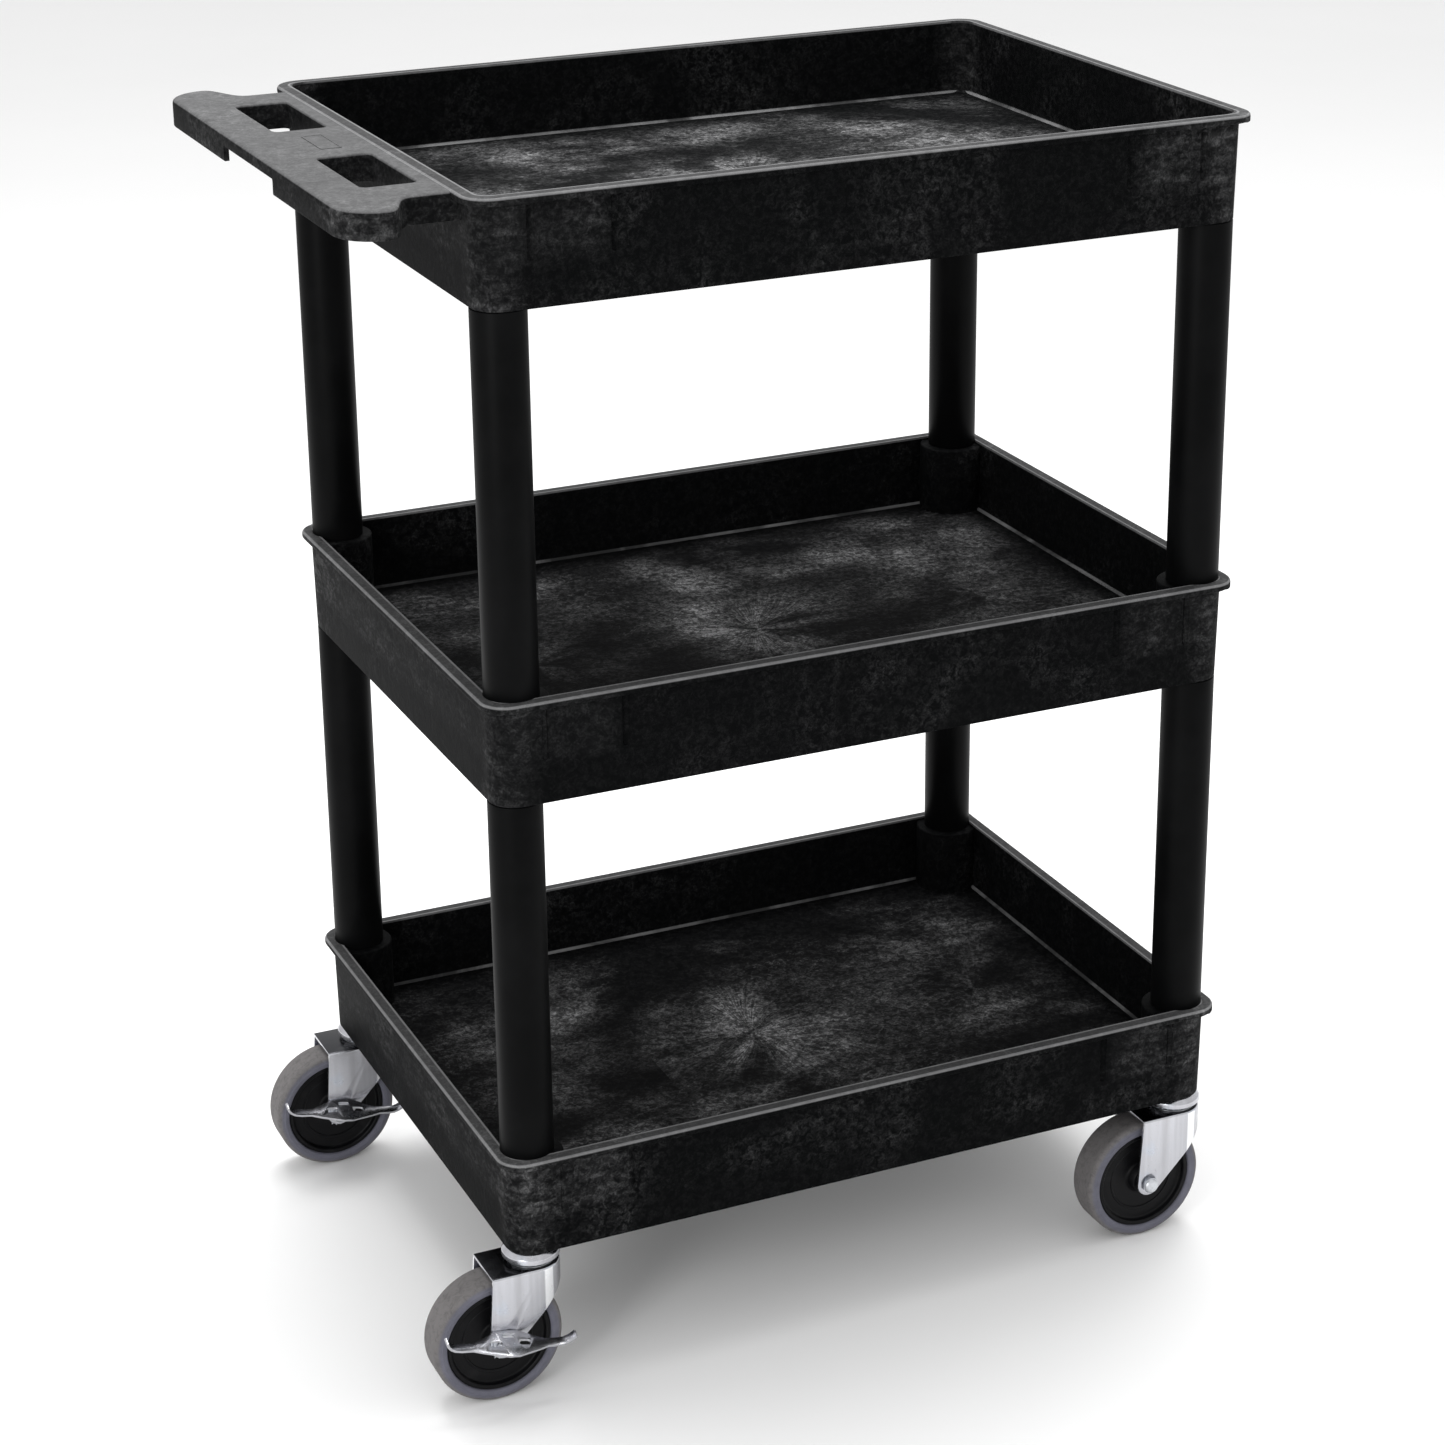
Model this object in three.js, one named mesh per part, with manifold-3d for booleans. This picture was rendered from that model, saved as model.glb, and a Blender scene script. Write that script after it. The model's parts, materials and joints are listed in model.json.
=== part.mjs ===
// Rolling utility cart: three moulded tub shelves on tubular legs, a moulded push handle on the
// top shelf and four swivel casters, the two at the handle end with wing-shaped wheel brakes.
// Millimetres, +Z up. X runs along the cart with the handle at -X, and the floor is at Z = 0.

import * as THREE from 'three';
import { mergeVertices } from 'three/addons/utils/BufferGeometryUtils.js';
import Module from 'manifold-3d';

const wasm = await Module();
wasm.setup();

// ---- driving dimensions -------------------------------------------------------------------

const GAP = 0.3; // clearance between pieces that touch

const LIP_LENGTH = 610; // a shelf over its lip
const LIP_WIDTH = 446;
const LIP_OVERHANG = 6; // lip beyond the wall
const LIP_THICKNESS = 6;
const LIP_RADIUS = 20;
const TUB_DEPTH = 80; // skirt bottom to rim
const TUB_DRAFT = 1; // how far each wall leans out over its height
const WALL = 4;
const FLOOR_TOP = 20; // above the skirt bottom
const FLOOR_THICKNESS = 4;
const RIB_DEPTH = 5;
const RIB_WIDTH = 4;
const GROOVE = { inset: 78, width: 6, depth: 1.2, low: 34, high: 72 }; // inset from the leg axis
const LEVEL_PITCH = 360; // shelf to shelf

const LEG_RADIUS = 20;
const LEG_WALL = 2.5;
const SPIGOT_LENGTH = 34; // tub spigot inside a leg
const POST_RADIUS = 27; // corner post inside a tub
const PLATEAU_DROP = 3; // top of a corner post below the rim

const HANDLE_REACH = 85; // beyond the lip
const HANDLE_HALF_WIDTH = 221;
const HANDLE_NECK = 187; // half width beside the tub
const HANDLE_SKIRT = 21;
const HANDLE_PLATE = 5;
const HANDLE_CORNER = 30;
const FINGER_CUT_HALF = 60; // shallow stretch in the middle of the outer skirt
const FINGER_CUT_SKIRT = 9.5;
const HAND_HOLE = { depth: 40, length: 102, centre: 99, fromLip: 10, corner: 5, collar: 3 };

const MOUNT_HEIGHT = 120; // floor to the bottom of the lowest skirt
const WHEEL_RADIUS = 50.8;
const TYRE_WIDTH = 30;
const HUB_RADIUS = 41;
const CASTER_TRAIL = 32; // swivel axis to axle
const FORK_INSIDE = 19; // half width between the cheeks
const FORK_SHEET = 2.6;
const CROWN_TOP = 108;
const AXLE_RADIUS = 4;
const AXLE_EYE = 10; // round end of a fork cheek
const AXLE_END = 8; // threaded end beyond the cheek
const STEM_RADIUS = 5.5;
const STEM_RISE = 38; // stem inside its socket
const SOCKET_RADIUS = 11;
const PEDAL_TILT = 11; // degrees, released
const PEDAL_SHEET = 2;
const PEDAL_REACH = 25; // out from the cheek

const CORNERS = [
  { name: 'rear_right', x: -1, y: -1, brake: true },
  { name: 'rear_left', x: -1, y: 1, brake: true },
  { name: 'front_right', x: 1, y: -1, brake: false },
  { name: 'front_left', x: 1, y: 1, brake: false },
];

const WALL_X = LIP_LENGTH / 2 - LIP_OVERHANG; // outside of the walls at the rim
const WALL_Y = LIP_WIDTH / 2 - LIP_OVERHANG;
const LEG_X = WALL_X - TUB_DRAFT - LEG_RADIUS;
const LEG_Y = WALL_Y - TUB_DRAFT - LEG_RADIUS;
const PLATEAU = TUB_DEPTH - PLATEAU_DROP;
const HANDLE_X = -LIP_LENGTH / 2 - HANDLE_REACH;

// ---- materials ----------------------------------------------------------------------------

const blackFoam = { color: 0x17181a, roughness: 0.55, metalness: 0 };
const blackTube = { color: 0x1d1d1f, roughness: 0.45, metalness: 0 };
const nylon = { color: 0x121214, roughness: 0.5, metalness: 0 };
const greyRubber = { color: 0x6a6970, roughness: 0.7, metalness: 0 };
const zincPlate = { color: 0xc4c8cc, roughness: 0.28, metalness: 1 };
const boltSteel = { color: 0xa9adb2, roughness: 0.35, metalness: 1 };

// ---- solids -------------------------------------------------------------------------------

// A closed geometry as a solid that can be cut and joined.
function solid(geometry) {
  const plain = geometry.clone();
  plain.deleteAttribute('normal');
  plain.deleteAttribute('uv');
  const merged = mergeVertices(plain, 1e-4);
  const vertProperties = new Float32Array(merged.attributes.position.array);
  const triVerts = new Uint32Array(merged.index.array);
  return new wasm.Manifold(new wasm.Mesh({ numProp: 3, vertProperties, triVerts }));
}

function geometryOf(body) {
  const mesh = body.simplify(GAP / 30).getMesh();
  const geometry = new THREE.BufferGeometry();
  geometry.setAttribute('position', new THREE.BufferAttribute(new Float32Array(mesh.vertProperties), 3));
  geometry.setIndex(new THREE.BufferAttribute(new Uint32Array(mesh.triVerts), 1));
  const flat = geometry.toNonIndexed();
  flat.computeVertexNormals();
  return flat;
}

function join(first, ...others) {
  return others.reduce((sum, other) => sum.add(other), first);
}

function cut(first, ...others) {
  return others.reduce((rest, other) => rest.subtract(other), first);
}

function box(x0, x1, y0, y1, z0, z1) {
  const geometry = new THREE.BoxGeometry(x1 - x0, y1 - y0, z1 - z0);
  return solid(geometry.translate((x0 + x1) / 2, (y0 + y1) / 2, (z0 + z1) / 2));
}

// An upright cylinder from z0 to z1.
function post(x, y, radius, z0, z1, sides = 20) {
  const geometry = new THREE.CylinderGeometry(radius, radius, z1 - z0, sides);
  return solid(geometry.rotateX(Math.PI / 2).translate(x, y, (z0 + z1) / 2));
}

// A cylinder along Y from y0 to y1.
function pin(x, z, radius, y0, y1, sides = 12) {
  const geometry = new THREE.CylinderGeometry(radius, radius, y1 - y0, sides);
  return solid(geometry.translate(x, (y0 + y1) / 2, z));
}

// A flat outline in XY, raised from z0 to z1.
function raise(shape, z0, z1, curveSegments = 3) {
  const geometry = new THREE.ExtrudeGeometry(shape, { depth: z1 - z0, bevelEnabled: false, curveSegments });
  return solid(geometry.translate(0, 0, z0));
}

// An outline drawn in XZ, run along Y from y0 to y1.
function run(shape, y0, y1, curveSegments = 4) {
  const geometry = new THREE.ExtrudeGeometry(shape, { depth: y1 - y0, bevelEnabled: false, curveSegments });
  return solid(geometry.rotateX(Math.PI / 2).translate(0, y1, 0));
}

// A closed [radius, height] profile turned about Z.
function turn(profile, sides) {
  const points = profile.map(([radius, height]) => new THREE.Vector2(radius, height));
  return new THREE.LatheGeometry([...points, points[0].clone()], sides);
}

function roundedRectangle(halfX, halfY, radius) {
  const shape = new THREE.Shape();
  shape.absarc(halfX - radius, halfY - radius, radius, 0, Math.PI / 2);
  shape.absarc(radius - halfX, halfY - radius, radius, Math.PI / 2, Math.PI);
  shape.absarc(radius - halfX, radius - halfY, radius, Math.PI, Math.PI * 1.5);
  shape.absarc(halfX - radius, radius - halfY, radius, Math.PI * 1.5, Math.PI * 2);
  return shape;
}

// A rounded rectangle whose walls lean out by draft between z0 and z1.
function drafted(halfX, halfY, radius, z0, z1, draft) {
  const shape = roundedRectangle(halfX, halfY, radius);
  const options = { depth: z1 - z0, bevelEnabled: false, curveSegments: 3 };
  const geometry = new THREE.ExtrudeGeometry(shape, options);
  const position = geometry.attributes.position;
  for (let i = 0; i < position.count; i += 1) {
    const lean = (position.getZ(i) / (z1 - z0)) * draft;
    position.setX(i, position.getX(i) + Math.sign(position.getX(i)) * lean);
    position.setY(i, position.getY(i) + Math.sign(position.getY(i)) * lean);
  }
  return solid(geometry.translate(0, 0, z0));
}

// ---- shelves ------------------------------------------------------------------------------

// The walls, floor, lip and underside ribs that all three tubs share. Z = 0 is the skirt bottom.
function tubBody() {
  const outside = drafted(WALL_X - TUB_DRAFT, WALL_Y - TUB_DRAFT, LEG_RADIUS, 0, TUB_DEPTH, TUB_DRAFT);
  const lip = raise(
    roundedRectangle(LIP_LENGTH / 2, LIP_WIDTH / 2, LIP_RADIUS),
    TUB_DEPTH - LIP_THICKNESS,
    TUB_DEPTH,
  );
  const insideX = WALL_X - WALL - TUB_DRAFT;
  const insideY = WALL_Y - WALL - TUB_DRAFT;
  const insideRadius = LEG_RADIUS - WALL;
  const inside = drafted(insideX, insideY, insideRadius, FLOOR_TOP, TUB_DEPTH + 1, TUB_DRAFT);
  const underside = raise(roundedRectangle(insideX, insideY, insideRadius), -1, FLOOR_TOP - FLOOR_THICKNESS);
  const ribs = [];
  const ribBottom = FLOOR_TOP - FLOOR_THICKNESS - RIB_DEPTH;
  const ribTop = FLOOR_TOP - FLOOR_THICKNESS / 2;
  for (const x of [-LEG_X / 3, LEG_X / 3]) {
    ribs.push(box(x - RIB_WIDTH / 2, x + RIB_WIDTH / 2, -insideY - 1, insideY + 1, ribBottom, ribTop));
  }
  ribs.push(box(-insideX - 1, insideX + 1, -RIB_WIDTH / 2, RIB_WIDTH / 2, ribBottom, ribTop));
  return join(cut(join(outside, lip), inside, underside), ...ribs);
}

// Shallow upright grooves near the corners, in the outside of the two long walls.
function wallGrooves() {
  const grooves = [];
  for (const side of [-1, 1]) {
    for (const end of [-1, 1]) {
      const x = end * (LEG_X - GROOVE.inset);
      const y = side * WALL_Y;
      const half = GROOVE.width / 2;
      grooves.push(box(x - half, x + half, y - GROOVE.depth, y + GROOVE.depth, GROOVE.low, GROOVE.high));
    }
  }
  return grooves;
}

// Corner posts that carry the legs: below the floor only, or up to the plateau.
function cornerPosts(toPlateau) {
  const shell = drafted(WALL_X - TUB_DRAFT, WALL_Y - TUB_DRAFT, LEG_RADIUS, 0, TUB_DEPTH, TUB_DRAFT);
  const top = toPlateau ? PLATEAU : FLOOR_TOP - 1;
  return CORNERS.map(({ x, y }) => {
    const round = post(x * LEG_X, y * LEG_Y, POST_RADIUS, 0, top, 24);
    const outerX = [x * LEG_X, x * LIP_LENGTH].sort((a, b) => a - b);
    const outerY = [y * LEG_Y, y * LIP_WIDTH].sort((a, b) => a - b);
    const corner = box(outerX[0], outerX[1], outerY[0], outerY[1], 0, top);
    return join(round, corner).intersect(shell);
  });
}

// Round seats that let the legs stand on the posts inside the lip.
function legSeats() {
  return CORNERS.map(({ x, y }) =>
    post(x * LEG_X, y * LEG_Y, LEG_RADIUS + GAP, PLATEAU, TUB_DEPTH + 1, 24),
  );
}

function spigots(z0, z1) {
  const radius = LEG_RADIUS - LEG_WALL - GAP;
  return CORNERS.map(({ x, y }) => post(x * LEG_X, y * LEG_Y, radius, z0, z1));
}

// Half the handle's outline is mirrored in Y; inset draws the same outline that much smaller.
function handleOutline(inset) {
  const root = -WALL_X + WALL / 2;
  const neckX = -LIP_LENGTH / 2 - 28;
  const neckY = HANDLE_NECK - inset;
  const wideY = HANDLE_HALF_WIDTH - inset;
  const cornerX = HANDLE_X + HANDLE_CORNER;
  const cornerY = HANDLE_HALF_WIDTH - HANDLE_CORNER;
  const radius = HANDLE_CORNER - inset;
  const bend = 13;
  const shape = new THREE.Shape();
  shape.moveTo(root, -neckY);
  shape.lineTo(root, neckY);
  shape.lineTo(neckX, neckY);
  shape.bezierCurveTo(neckX - bend, neckY, cornerX + bend, wideY, cornerX, wideY);
  shape.absarc(cornerX, cornerY, radius, Math.PI / 2, Math.PI);
  shape.absarc(cornerX, -cornerY, radius, Math.PI, Math.PI * 1.5);
  shape.bezierCurveTo(cornerX + bend, -wideY, neckX - bend, -neckY, neckX, -neckY);
  return shape;
}

function handHole(side, grow) {
  const near = -LIP_LENGTH / 2 - HAND_HOLE.fromLip;
  const { depth, length, corner } = HAND_HOLE;
  const shape = roundedRectangle(depth / 2 + grow, length / 2 + grow, corner + grow);
  return raise(shape, -HANDLE_SKIRT - 1, 1, 2).translate([
    near - depth / 2,
    side * HAND_HOLE.centre,
    TUB_DEPTH,
  ]);
}

function addHandle(tub) {
  const bottom = TUB_DEPTH - HANDLE_SKIRT;
  const plate = raise(handleOutline(0), bottom, TUB_DEPTH, 5);
  const clearOfTub = box(HANDLE_X, -WALL_X - 1, -LIP_WIDTH, LIP_WIDTH, -1, TUB_DEPTH + 2);
  const hollow = raise(handleOutline(WALL), bottom - 1, TUB_DEPTH - HANDLE_PLATE, 5).intersect(
    box(HANDLE_X, -WALL_X - 1, -LIP_WIDTH / 2, LIP_WIDTH / 2, 0, TUB_DEPTH),
  );
  const fingerCut = box(
    HANDLE_X - 1,
    HANDLE_X + WALL + 1,
    -FINGER_CUT_HALF,
    FINGER_CUT_HALF,
    bottom - 1,
    TUB_DEPTH - FINGER_CUT_SKIRT,
  );
  const collars = [-1, 1].map((side) => handHole(side, HAND_HOLE.collar).intersect(clearOfTub));
  const holes = [-1, 1].map((side) => handHole(side, 0));
  const shell = join(cut(plate, hollow), ...collars.map((collar) => collar.intersect(plate)));
  return cut(join(tub, shell), fingerCut, ...holes);
}

function topShelf() {
  const tub = cut(tubBody(), ...wallGrooves());
  return addHandle(join(tub, ...cornerPosts(false), ...spigots(-SPIGOT_LENGTH, 1)));
}

// A tub with legs standing on its corner posts.
function postedTub() {
  const posted = cut(join(cut(tubBody(), ...wallGrooves()), ...cornerPosts(true)), ...legSeats());
  return join(posted, ...spigots(PLATEAU - 1, PLATEAU + SPIGOT_LENGTH));
}

function middleShelf() {
  return join(postedTub(), ...spigots(-SPIGOT_LENGTH, 1));
}

function bottomShelf() {
  const sockets = CORNERS.map(({ x, y }) =>
    post(x * LEG_X, y * LEG_Y, SOCKET_RADIUS + GAP, -1, STEM_RISE + 4, 16),
  );
  return cut(postedTub(), ...sockets);
}

// A leg tube, standing on Z = 0.
function legTube(length) {
  const inner = LEG_RADIUS - LEG_WALL;
  return turn([[inner, 0], [LEG_RADIUS, 0], [LEG_RADIUS, length], [inner, length]], 20).rotateX(Math.PI / 2);
}

// ---- casters ------------------------------------------------------------------------------
// Drawn with the swivel axis on X = Y = 0, the floor at Z = 0 and the wheel trailing towards -X.

const AXLE = { x: -CASTER_TRAIL, z: WHEEL_RADIUS };
const CHEEK = FORK_INSIDE + FORK_SHEET;

// The U-shaped plan of the pressed fork, open towards the wheel's trailing side.
function forkPlan(halfWidth, back) {
  const shape = new THREE.Shape();
  shape.moveTo(back, halfWidth);
  shape.lineTo(back, -halfWidth);
  shape.lineTo(0, -halfWidth);
  shape.absarc(0, 0, halfWidth, -Math.PI / 2, Math.PI / 2);
  return shape;
}

// One cheek from the side: a nearly upright back edge, a slanting front edge and a round eye.
function cheekOutline() {
  const shape = new THREE.Shape();
  shape.moveTo(AXLE.x - 6, CROWN_TOP);
  shape.lineTo(AXLE.x - AXLE_EYE, AXLE.z);
  shape.absarc(AXLE.x, AXLE.z, AXLE_EYE, Math.PI, Math.PI * 1.8);
  shape.lineTo(CHEEK + 1, CROWN_TOP - 15);
  shape.lineTo(CHEEK + 1, CROWN_TOP);
  return shape;
}

function fork() {
  const back = AXLE.x - AXLE_EYE - 1;
  const outside = raise(forkPlan(CHEEK, back), AXLE.z - AXLE_EYE, CROWN_TOP, 5);
  const inside = raise(forkPlan(FORK_INSIDE, back - 1), 0, CROWN_TOP - FORK_SHEET, 5);
  const pressing = cut(outside, inside).intersect(run(cheekOutline(), -CHEEK - 1, CHEEK + 1));
  const axleHole = pin(AXLE.x, AXLE.z, AXLE_RADIUS + GAP, -CHEEK - 1, CHEEK + 1);
  const stemHole = post(0, 0, STEM_RADIUS + GAP, CROWN_TOP - 5, CROWN_TOP + 1, 16);
  return geometryOf(cut(pressing, axleHole, stemHole));
}

// Stem with its riveted head below the fork crown.
function stem() {
  const head = 9;
  const top = MOUNT_HEIGHT + STEM_RISE;
  const profile = [
    [0, 100.6],
    [head - 2, 100.6],
    [head, 102.4],
    [head, CROWN_TOP - FORK_SHEET - GAP],
    [STEM_RADIUS, CROWN_TOP - FORK_SHEET - GAP],
    [STEM_RADIUS, top - 1.5],
    [STEM_RADIUS - 1.5, top],
    [0, top],
  ];
  const points = profile.map(([radius, height]) => new THREE.Vector2(radius, height));
  return new THREE.LatheGeometry(points, 12).rotateX(Math.PI / 2);
}

function stemSocket() {
  const bore = STEM_RADIUS + GAP;
  const top = MOUNT_HEIGHT + STEM_RISE + 2;
  return turn([[bore, MOUNT_HEIGHT], [SOCKET_RADIUS, MOUNT_HEIGHT], [SOCKET_RADIUS, top], [bore, top]], 12)
    .rotateX(Math.PI / 2);
}

// Fixed upper race, pressed from sheet and turned down over the balls.
function raceCup() {
  const bore = STEM_RADIUS + GAP;
  const top = MOUNT_HEIGHT - GAP;
  const profile = [
    [bore, top - 2.4],
    [16, top - 3.6],
    [20, top - 7.6],
    [22, top - 7.6],
    [21, top - 2.4],
    [bore, top],
  ];
  return turn(profile, 20).rotateX(Math.PI / 2);
}

// Ring of balls in its retainer, on the fork crown.
function ballRace() {
  const low = CROWN_TOP + GAP;
  return turn([[12, low], [18.6, low], [16, low + 3.6], [12, low + 3.6]], 16).rotateX(Math.PI / 2);
}

function axleBolt() {
  const headY = -CHEEK - (PEDAL_SHEET + 3 * GAP);
  const endY = CHEEK + AXLE_END;
  const shank = pin(AXLE.x, AXLE.z, AXLE_RADIUS, headY, endY);
  const head = pin(AXLE.x, AXLE.z, 6.6, headY - 3.4, headY);
  return geometryOf(join(shank, head));
}

function axleNut() {
  const nut = pin(AXLE.x, AXLE.z, 7, CHEEK + GAP, CHEEK + 6, 6);
  return geometryOf(cut(nut, pin(AXLE.x, AXLE.z, AXLE_RADIUS + GAP, CHEEK - 1, CHEEK + 7)));
}

// Steel tube that the hub turns on, clamped between the cheeks.
function axleSleeve() {
  const half = FORK_INSIDE - GAP;
  const bore = AXLE_RADIUS + GAP;
  return turn([[bore, -half], [6, -half], [6, half], [bore, half]], 12).translate(AXLE.x, 0, AXLE.z);
}

// Moulded wheel core: boss, thin web and rim.
function hub() {
  const profile = [
    [6.3, -15.6],
    [11, -15.6],
    [13, -6],
    [HUB_RADIUS - 5, -6],
    [HUB_RADIUS - 3, -13],
    [HUB_RADIUS, -13],
    [HUB_RADIUS, 13],
    [HUB_RADIUS - 3, 13],
    [HUB_RADIUS - 5, 6],
    [13, 6],
    [11, 15.6],
    [6.3, 15.6],
  ];
  return turn(profile, 20).translate(AXLE.x, 0, AXLE.z);
}

function tyre() {
  const half = TYRE_WIDTH / 2;
  const bore = HUB_RADIUS + GAP;
  const profile = [
    [bore, -half],
    [WHEEL_RADIUS - 5, -half],
    [WHEEL_RADIUS, -half + 7],
    [WHEEL_RADIUS, half - 7],
    [WHEEL_RADIUS - 5, half],
    [bore, half],
  ];
  return turn(profile, 28).translate(AXLE.x, 0, AXLE.z);
}

// Wing pedal, drawn level with the axle at the origin: an upright eye and a bent tread plate.
function pedal() {
  const inner = -CHEEK - GAP;
  const eye = pin(0, 0, 11, inner - PEDAL_SHEET, inner, 16);
  const neck = box(-9, 9, inner - PEDAL_SHEET, inner, 2, 14);
  const strip = new THREE.Shape();
  const top = [[-52, 20], [-47, 14.5], [-40, 12], [-20, 12], [0, 14], [20, 12], [40, 12], [46, 14.5], [50, 19]];
  top.forEach(([x, z], i) => (i === 0 ? strip.moveTo(x, z) : strip.lineTo(x, z)));
  top.reverse().forEach(([x, z]) => strip.lineTo(x * 0.985, z - PEDAL_SHEET));
  const plan = new THREE.Shape();
  const outline = [[-54, -3], [-30, -1.5], [-18, 0], [18, 0], [30, -1.5], [52, -3], [52, -12], [22, -15]];
  outline.push([4, -PEDAL_REACH], [-4, -PEDAL_REACH], [-22, -15], [-54, -12]);
  outline.forEach(([x, y], i) => (i === 0 ? plan.moveTo(x, inner + y) : plan.lineTo(x, inner + y)));
  const tread = run(strip, inner - 30, inner).intersect(raise(plan, 0, 30));
  const slots = [-1, 1].map((side) => box(side * 11 - 4.5, side * 11 + 4.5, inner - 13, inner - 9.5, 5, 20));
  const bore = pin(0, 0, AXLE_RADIUS + GAP, inner - PEDAL_SHEET - 1, inner + 1);
  const headRoom = pin(0, 0, 7.4, inner - 12, inner - PEDAL_SHEET);
  return cut(join(eye, neck, tread), bore, headRoom, ...slots);
}

// Toothed cam that the pedal turns against the hub face, inside the outer cheek.
function brakeCam() {
  const outer = -FORK_INSIDE + GAP;
  const profile = new THREE.Shape();
  profile.absarc(0, 0, 9.5, Math.PI * 1.15, Math.PI * 1.85, true);
  profile.lineTo(0, -13);
  const disc = run(profile, outer, outer + 2.4, 5);
  return cut(disc, pin(0, 0, 6 + GAP, outer - 1, outer + 4));
}

function tilted(body) {
  const geometry = geometryOf(body).rotateY(THREE.MathUtils.degToRad(PEDAL_TILT));
  return geometry.translate(AXLE.x, 0, AXLE.z);
}

// ---- assembly -----------------------------------------------------------------------------

function named(name, geometry, finish) {
  const mesh = new THREE.Mesh(geometry, new THREE.MeshStandardMaterial(finish));
  mesh.name = name;
  return mesh;
}

function shelves() {
  const group = new THREE.Group();
  const levels = [
    ['bottom_shelf', bottomShelf()],
    ['middle_shelf', middleShelf()],
    ['top_shelf', topShelf()],
  ];
  levels.forEach(([name, body], level) => {
    const shelf = named(name, geometryOf(body), blackFoam);
    shelf.position.z = MOUNT_HEIGHT + level * LEVEL_PITCH;
    group.add(shelf);
  });
  return group;
}

function legs() {
  const group = new THREE.Group();
  const length = LEVEL_PITCH - PLATEAU - 2 * GAP;
  ['lower', 'upper'].forEach((storey, level) => {
    for (const { name, x, y } of CORNERS) {
      const leg = named(`${storey}_leg_${name}`, legTube(length), blackTube);
      leg.position.set(x * LEG_X, y * LEG_Y, MOUNT_HEIGHT + PLATEAU + GAP + level * LEVEL_PITCH);
      group.add(leg);
    }
  });
  return group;
}

function caster({ name, x, y, brake }) {
  const group = new THREE.Group();
  group.add(
    named(`stem_socket_${name}`, stemSocket(), nylon),
    named(`caster_stem_${name}`, stem(), boltSteel),
    named(`race_cup_${name}`, raceCup(), zincPlate),
    named(`ball_race_${name}`, ballRace(), boltSteel),
    named(`fork_${name}`, fork(), zincPlate),
    named(`axle_bolt_${name}`, axleBolt(), boltSteel),
    named(`axle_nut_${name}`, axleNut(), boltSteel),
    named(`axle_sleeve_${name}`, axleSleeve(), boltSteel),
    named(`wheel_hub_${name}`, hub(), nylon),
    named(`tyre_${name}`, tyre(), greyRubber),
  );
  if (brake) {
    group.add(named(`brake_pedal_${name}`, tilted(pedal()), zincPlate));
    group.add(named(`brake_cam_${name}`, tilted(brakeCam()), boltSteel));
  }
  group.position.set(x * LEG_X, y * LEG_Y, 0);
  return group;
}

const cart = new THREE.Group();
cart.add(shelves(), legs(), ...CORNERS.map(caster));
// The handle reaches past one end only, and the pedals reach further out than the axle nuts, so
// the middle of the overall box is not the middle of the shelves.
const PEDAL_SIDE = LEG_Y + CHEEK + GAP + PEDAL_REACH;
const NUT_SIDE = LEG_Y + CHEEK + AXLE_END;
cart.position.set(HANDLE_REACH / 2, (PEDAL_SIDE - NUT_SIDE) / 2, 0);

export default cart;
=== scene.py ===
import json
import math

import bmesh
import bpy
from bpy.props import FloatProperty, FloatVectorProperty, PointerProperty
from mathutils import Matrix, Vector


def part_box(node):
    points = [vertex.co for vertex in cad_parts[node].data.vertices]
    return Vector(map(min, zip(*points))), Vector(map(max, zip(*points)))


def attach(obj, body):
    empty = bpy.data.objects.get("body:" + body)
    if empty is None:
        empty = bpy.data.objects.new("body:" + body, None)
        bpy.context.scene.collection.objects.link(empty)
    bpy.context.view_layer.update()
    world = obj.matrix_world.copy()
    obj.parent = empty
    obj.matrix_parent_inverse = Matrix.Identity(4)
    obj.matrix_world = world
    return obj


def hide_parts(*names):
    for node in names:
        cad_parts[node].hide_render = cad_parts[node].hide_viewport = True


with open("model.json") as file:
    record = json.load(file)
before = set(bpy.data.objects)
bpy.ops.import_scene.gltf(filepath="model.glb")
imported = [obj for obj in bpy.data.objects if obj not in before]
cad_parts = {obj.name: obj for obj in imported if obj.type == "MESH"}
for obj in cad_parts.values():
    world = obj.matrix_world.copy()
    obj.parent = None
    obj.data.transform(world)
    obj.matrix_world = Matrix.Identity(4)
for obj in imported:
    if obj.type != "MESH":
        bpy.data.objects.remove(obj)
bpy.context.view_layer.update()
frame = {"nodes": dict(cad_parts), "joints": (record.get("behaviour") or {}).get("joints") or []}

bl_info = {
    "name": "Rolling utility cart",
    "version": (1, 0, 0),
    "blender": (4, 5, 0),
    "location": "View3D > Sidebar > Cart",
    "description": "Moulded tub shelves, tube legs and braked swivel casters around the packed frame",
    "category": "Object",
}

CORNERS = ("rear_right", "rear_left", "front_right", "front_left")
BRAKED = ("rear_right", "rear_left")
MM = 0.001
GAP = 0.3 * MM                               # between pieces that turn or sit on each other


# ---- sizes read from the frame ------------------------------------------------------------

def joint_place(name):
    """The place of a joint's pivot, in the frame."""
    return next(Vector(j["pos_m"]) for j in frame["joints"] if j["name"] == name)


LEG_LOW, LEG_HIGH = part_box("lower_leg_rear_right")
UPPER_LEG_LOW, UPPER_LEG_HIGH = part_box("upper_leg_rear_right")
LEG_RADIUS = (LEG_HIGH.x - LEG_LOW.x) / 2
LOWEST, BOTTOM_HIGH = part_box("bottom_shelf")
MIDDLE_LOW, MIDDLE_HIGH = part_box("middle_shelf")
TOP_LOW, TOP_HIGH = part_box("top_shelf")
CENTRE = (LOWEST + BOTTOM_HIGH) / 2          # plan centre of every shelf
LIP_HALF = (BOTTOM_HIGH - LOWEST) / 2
PITCH = UPPER_LEG_LOW.z - LEG_LOW.z
SKIRTS = [LOWEST.z + level * PITCH for level in range(3)]
DEPTH = TOP_HIGH.z - SKIRTS[2]
LEG_PLACE = sum(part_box("lower_leg_front_left"), Vector()) / 2
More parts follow.
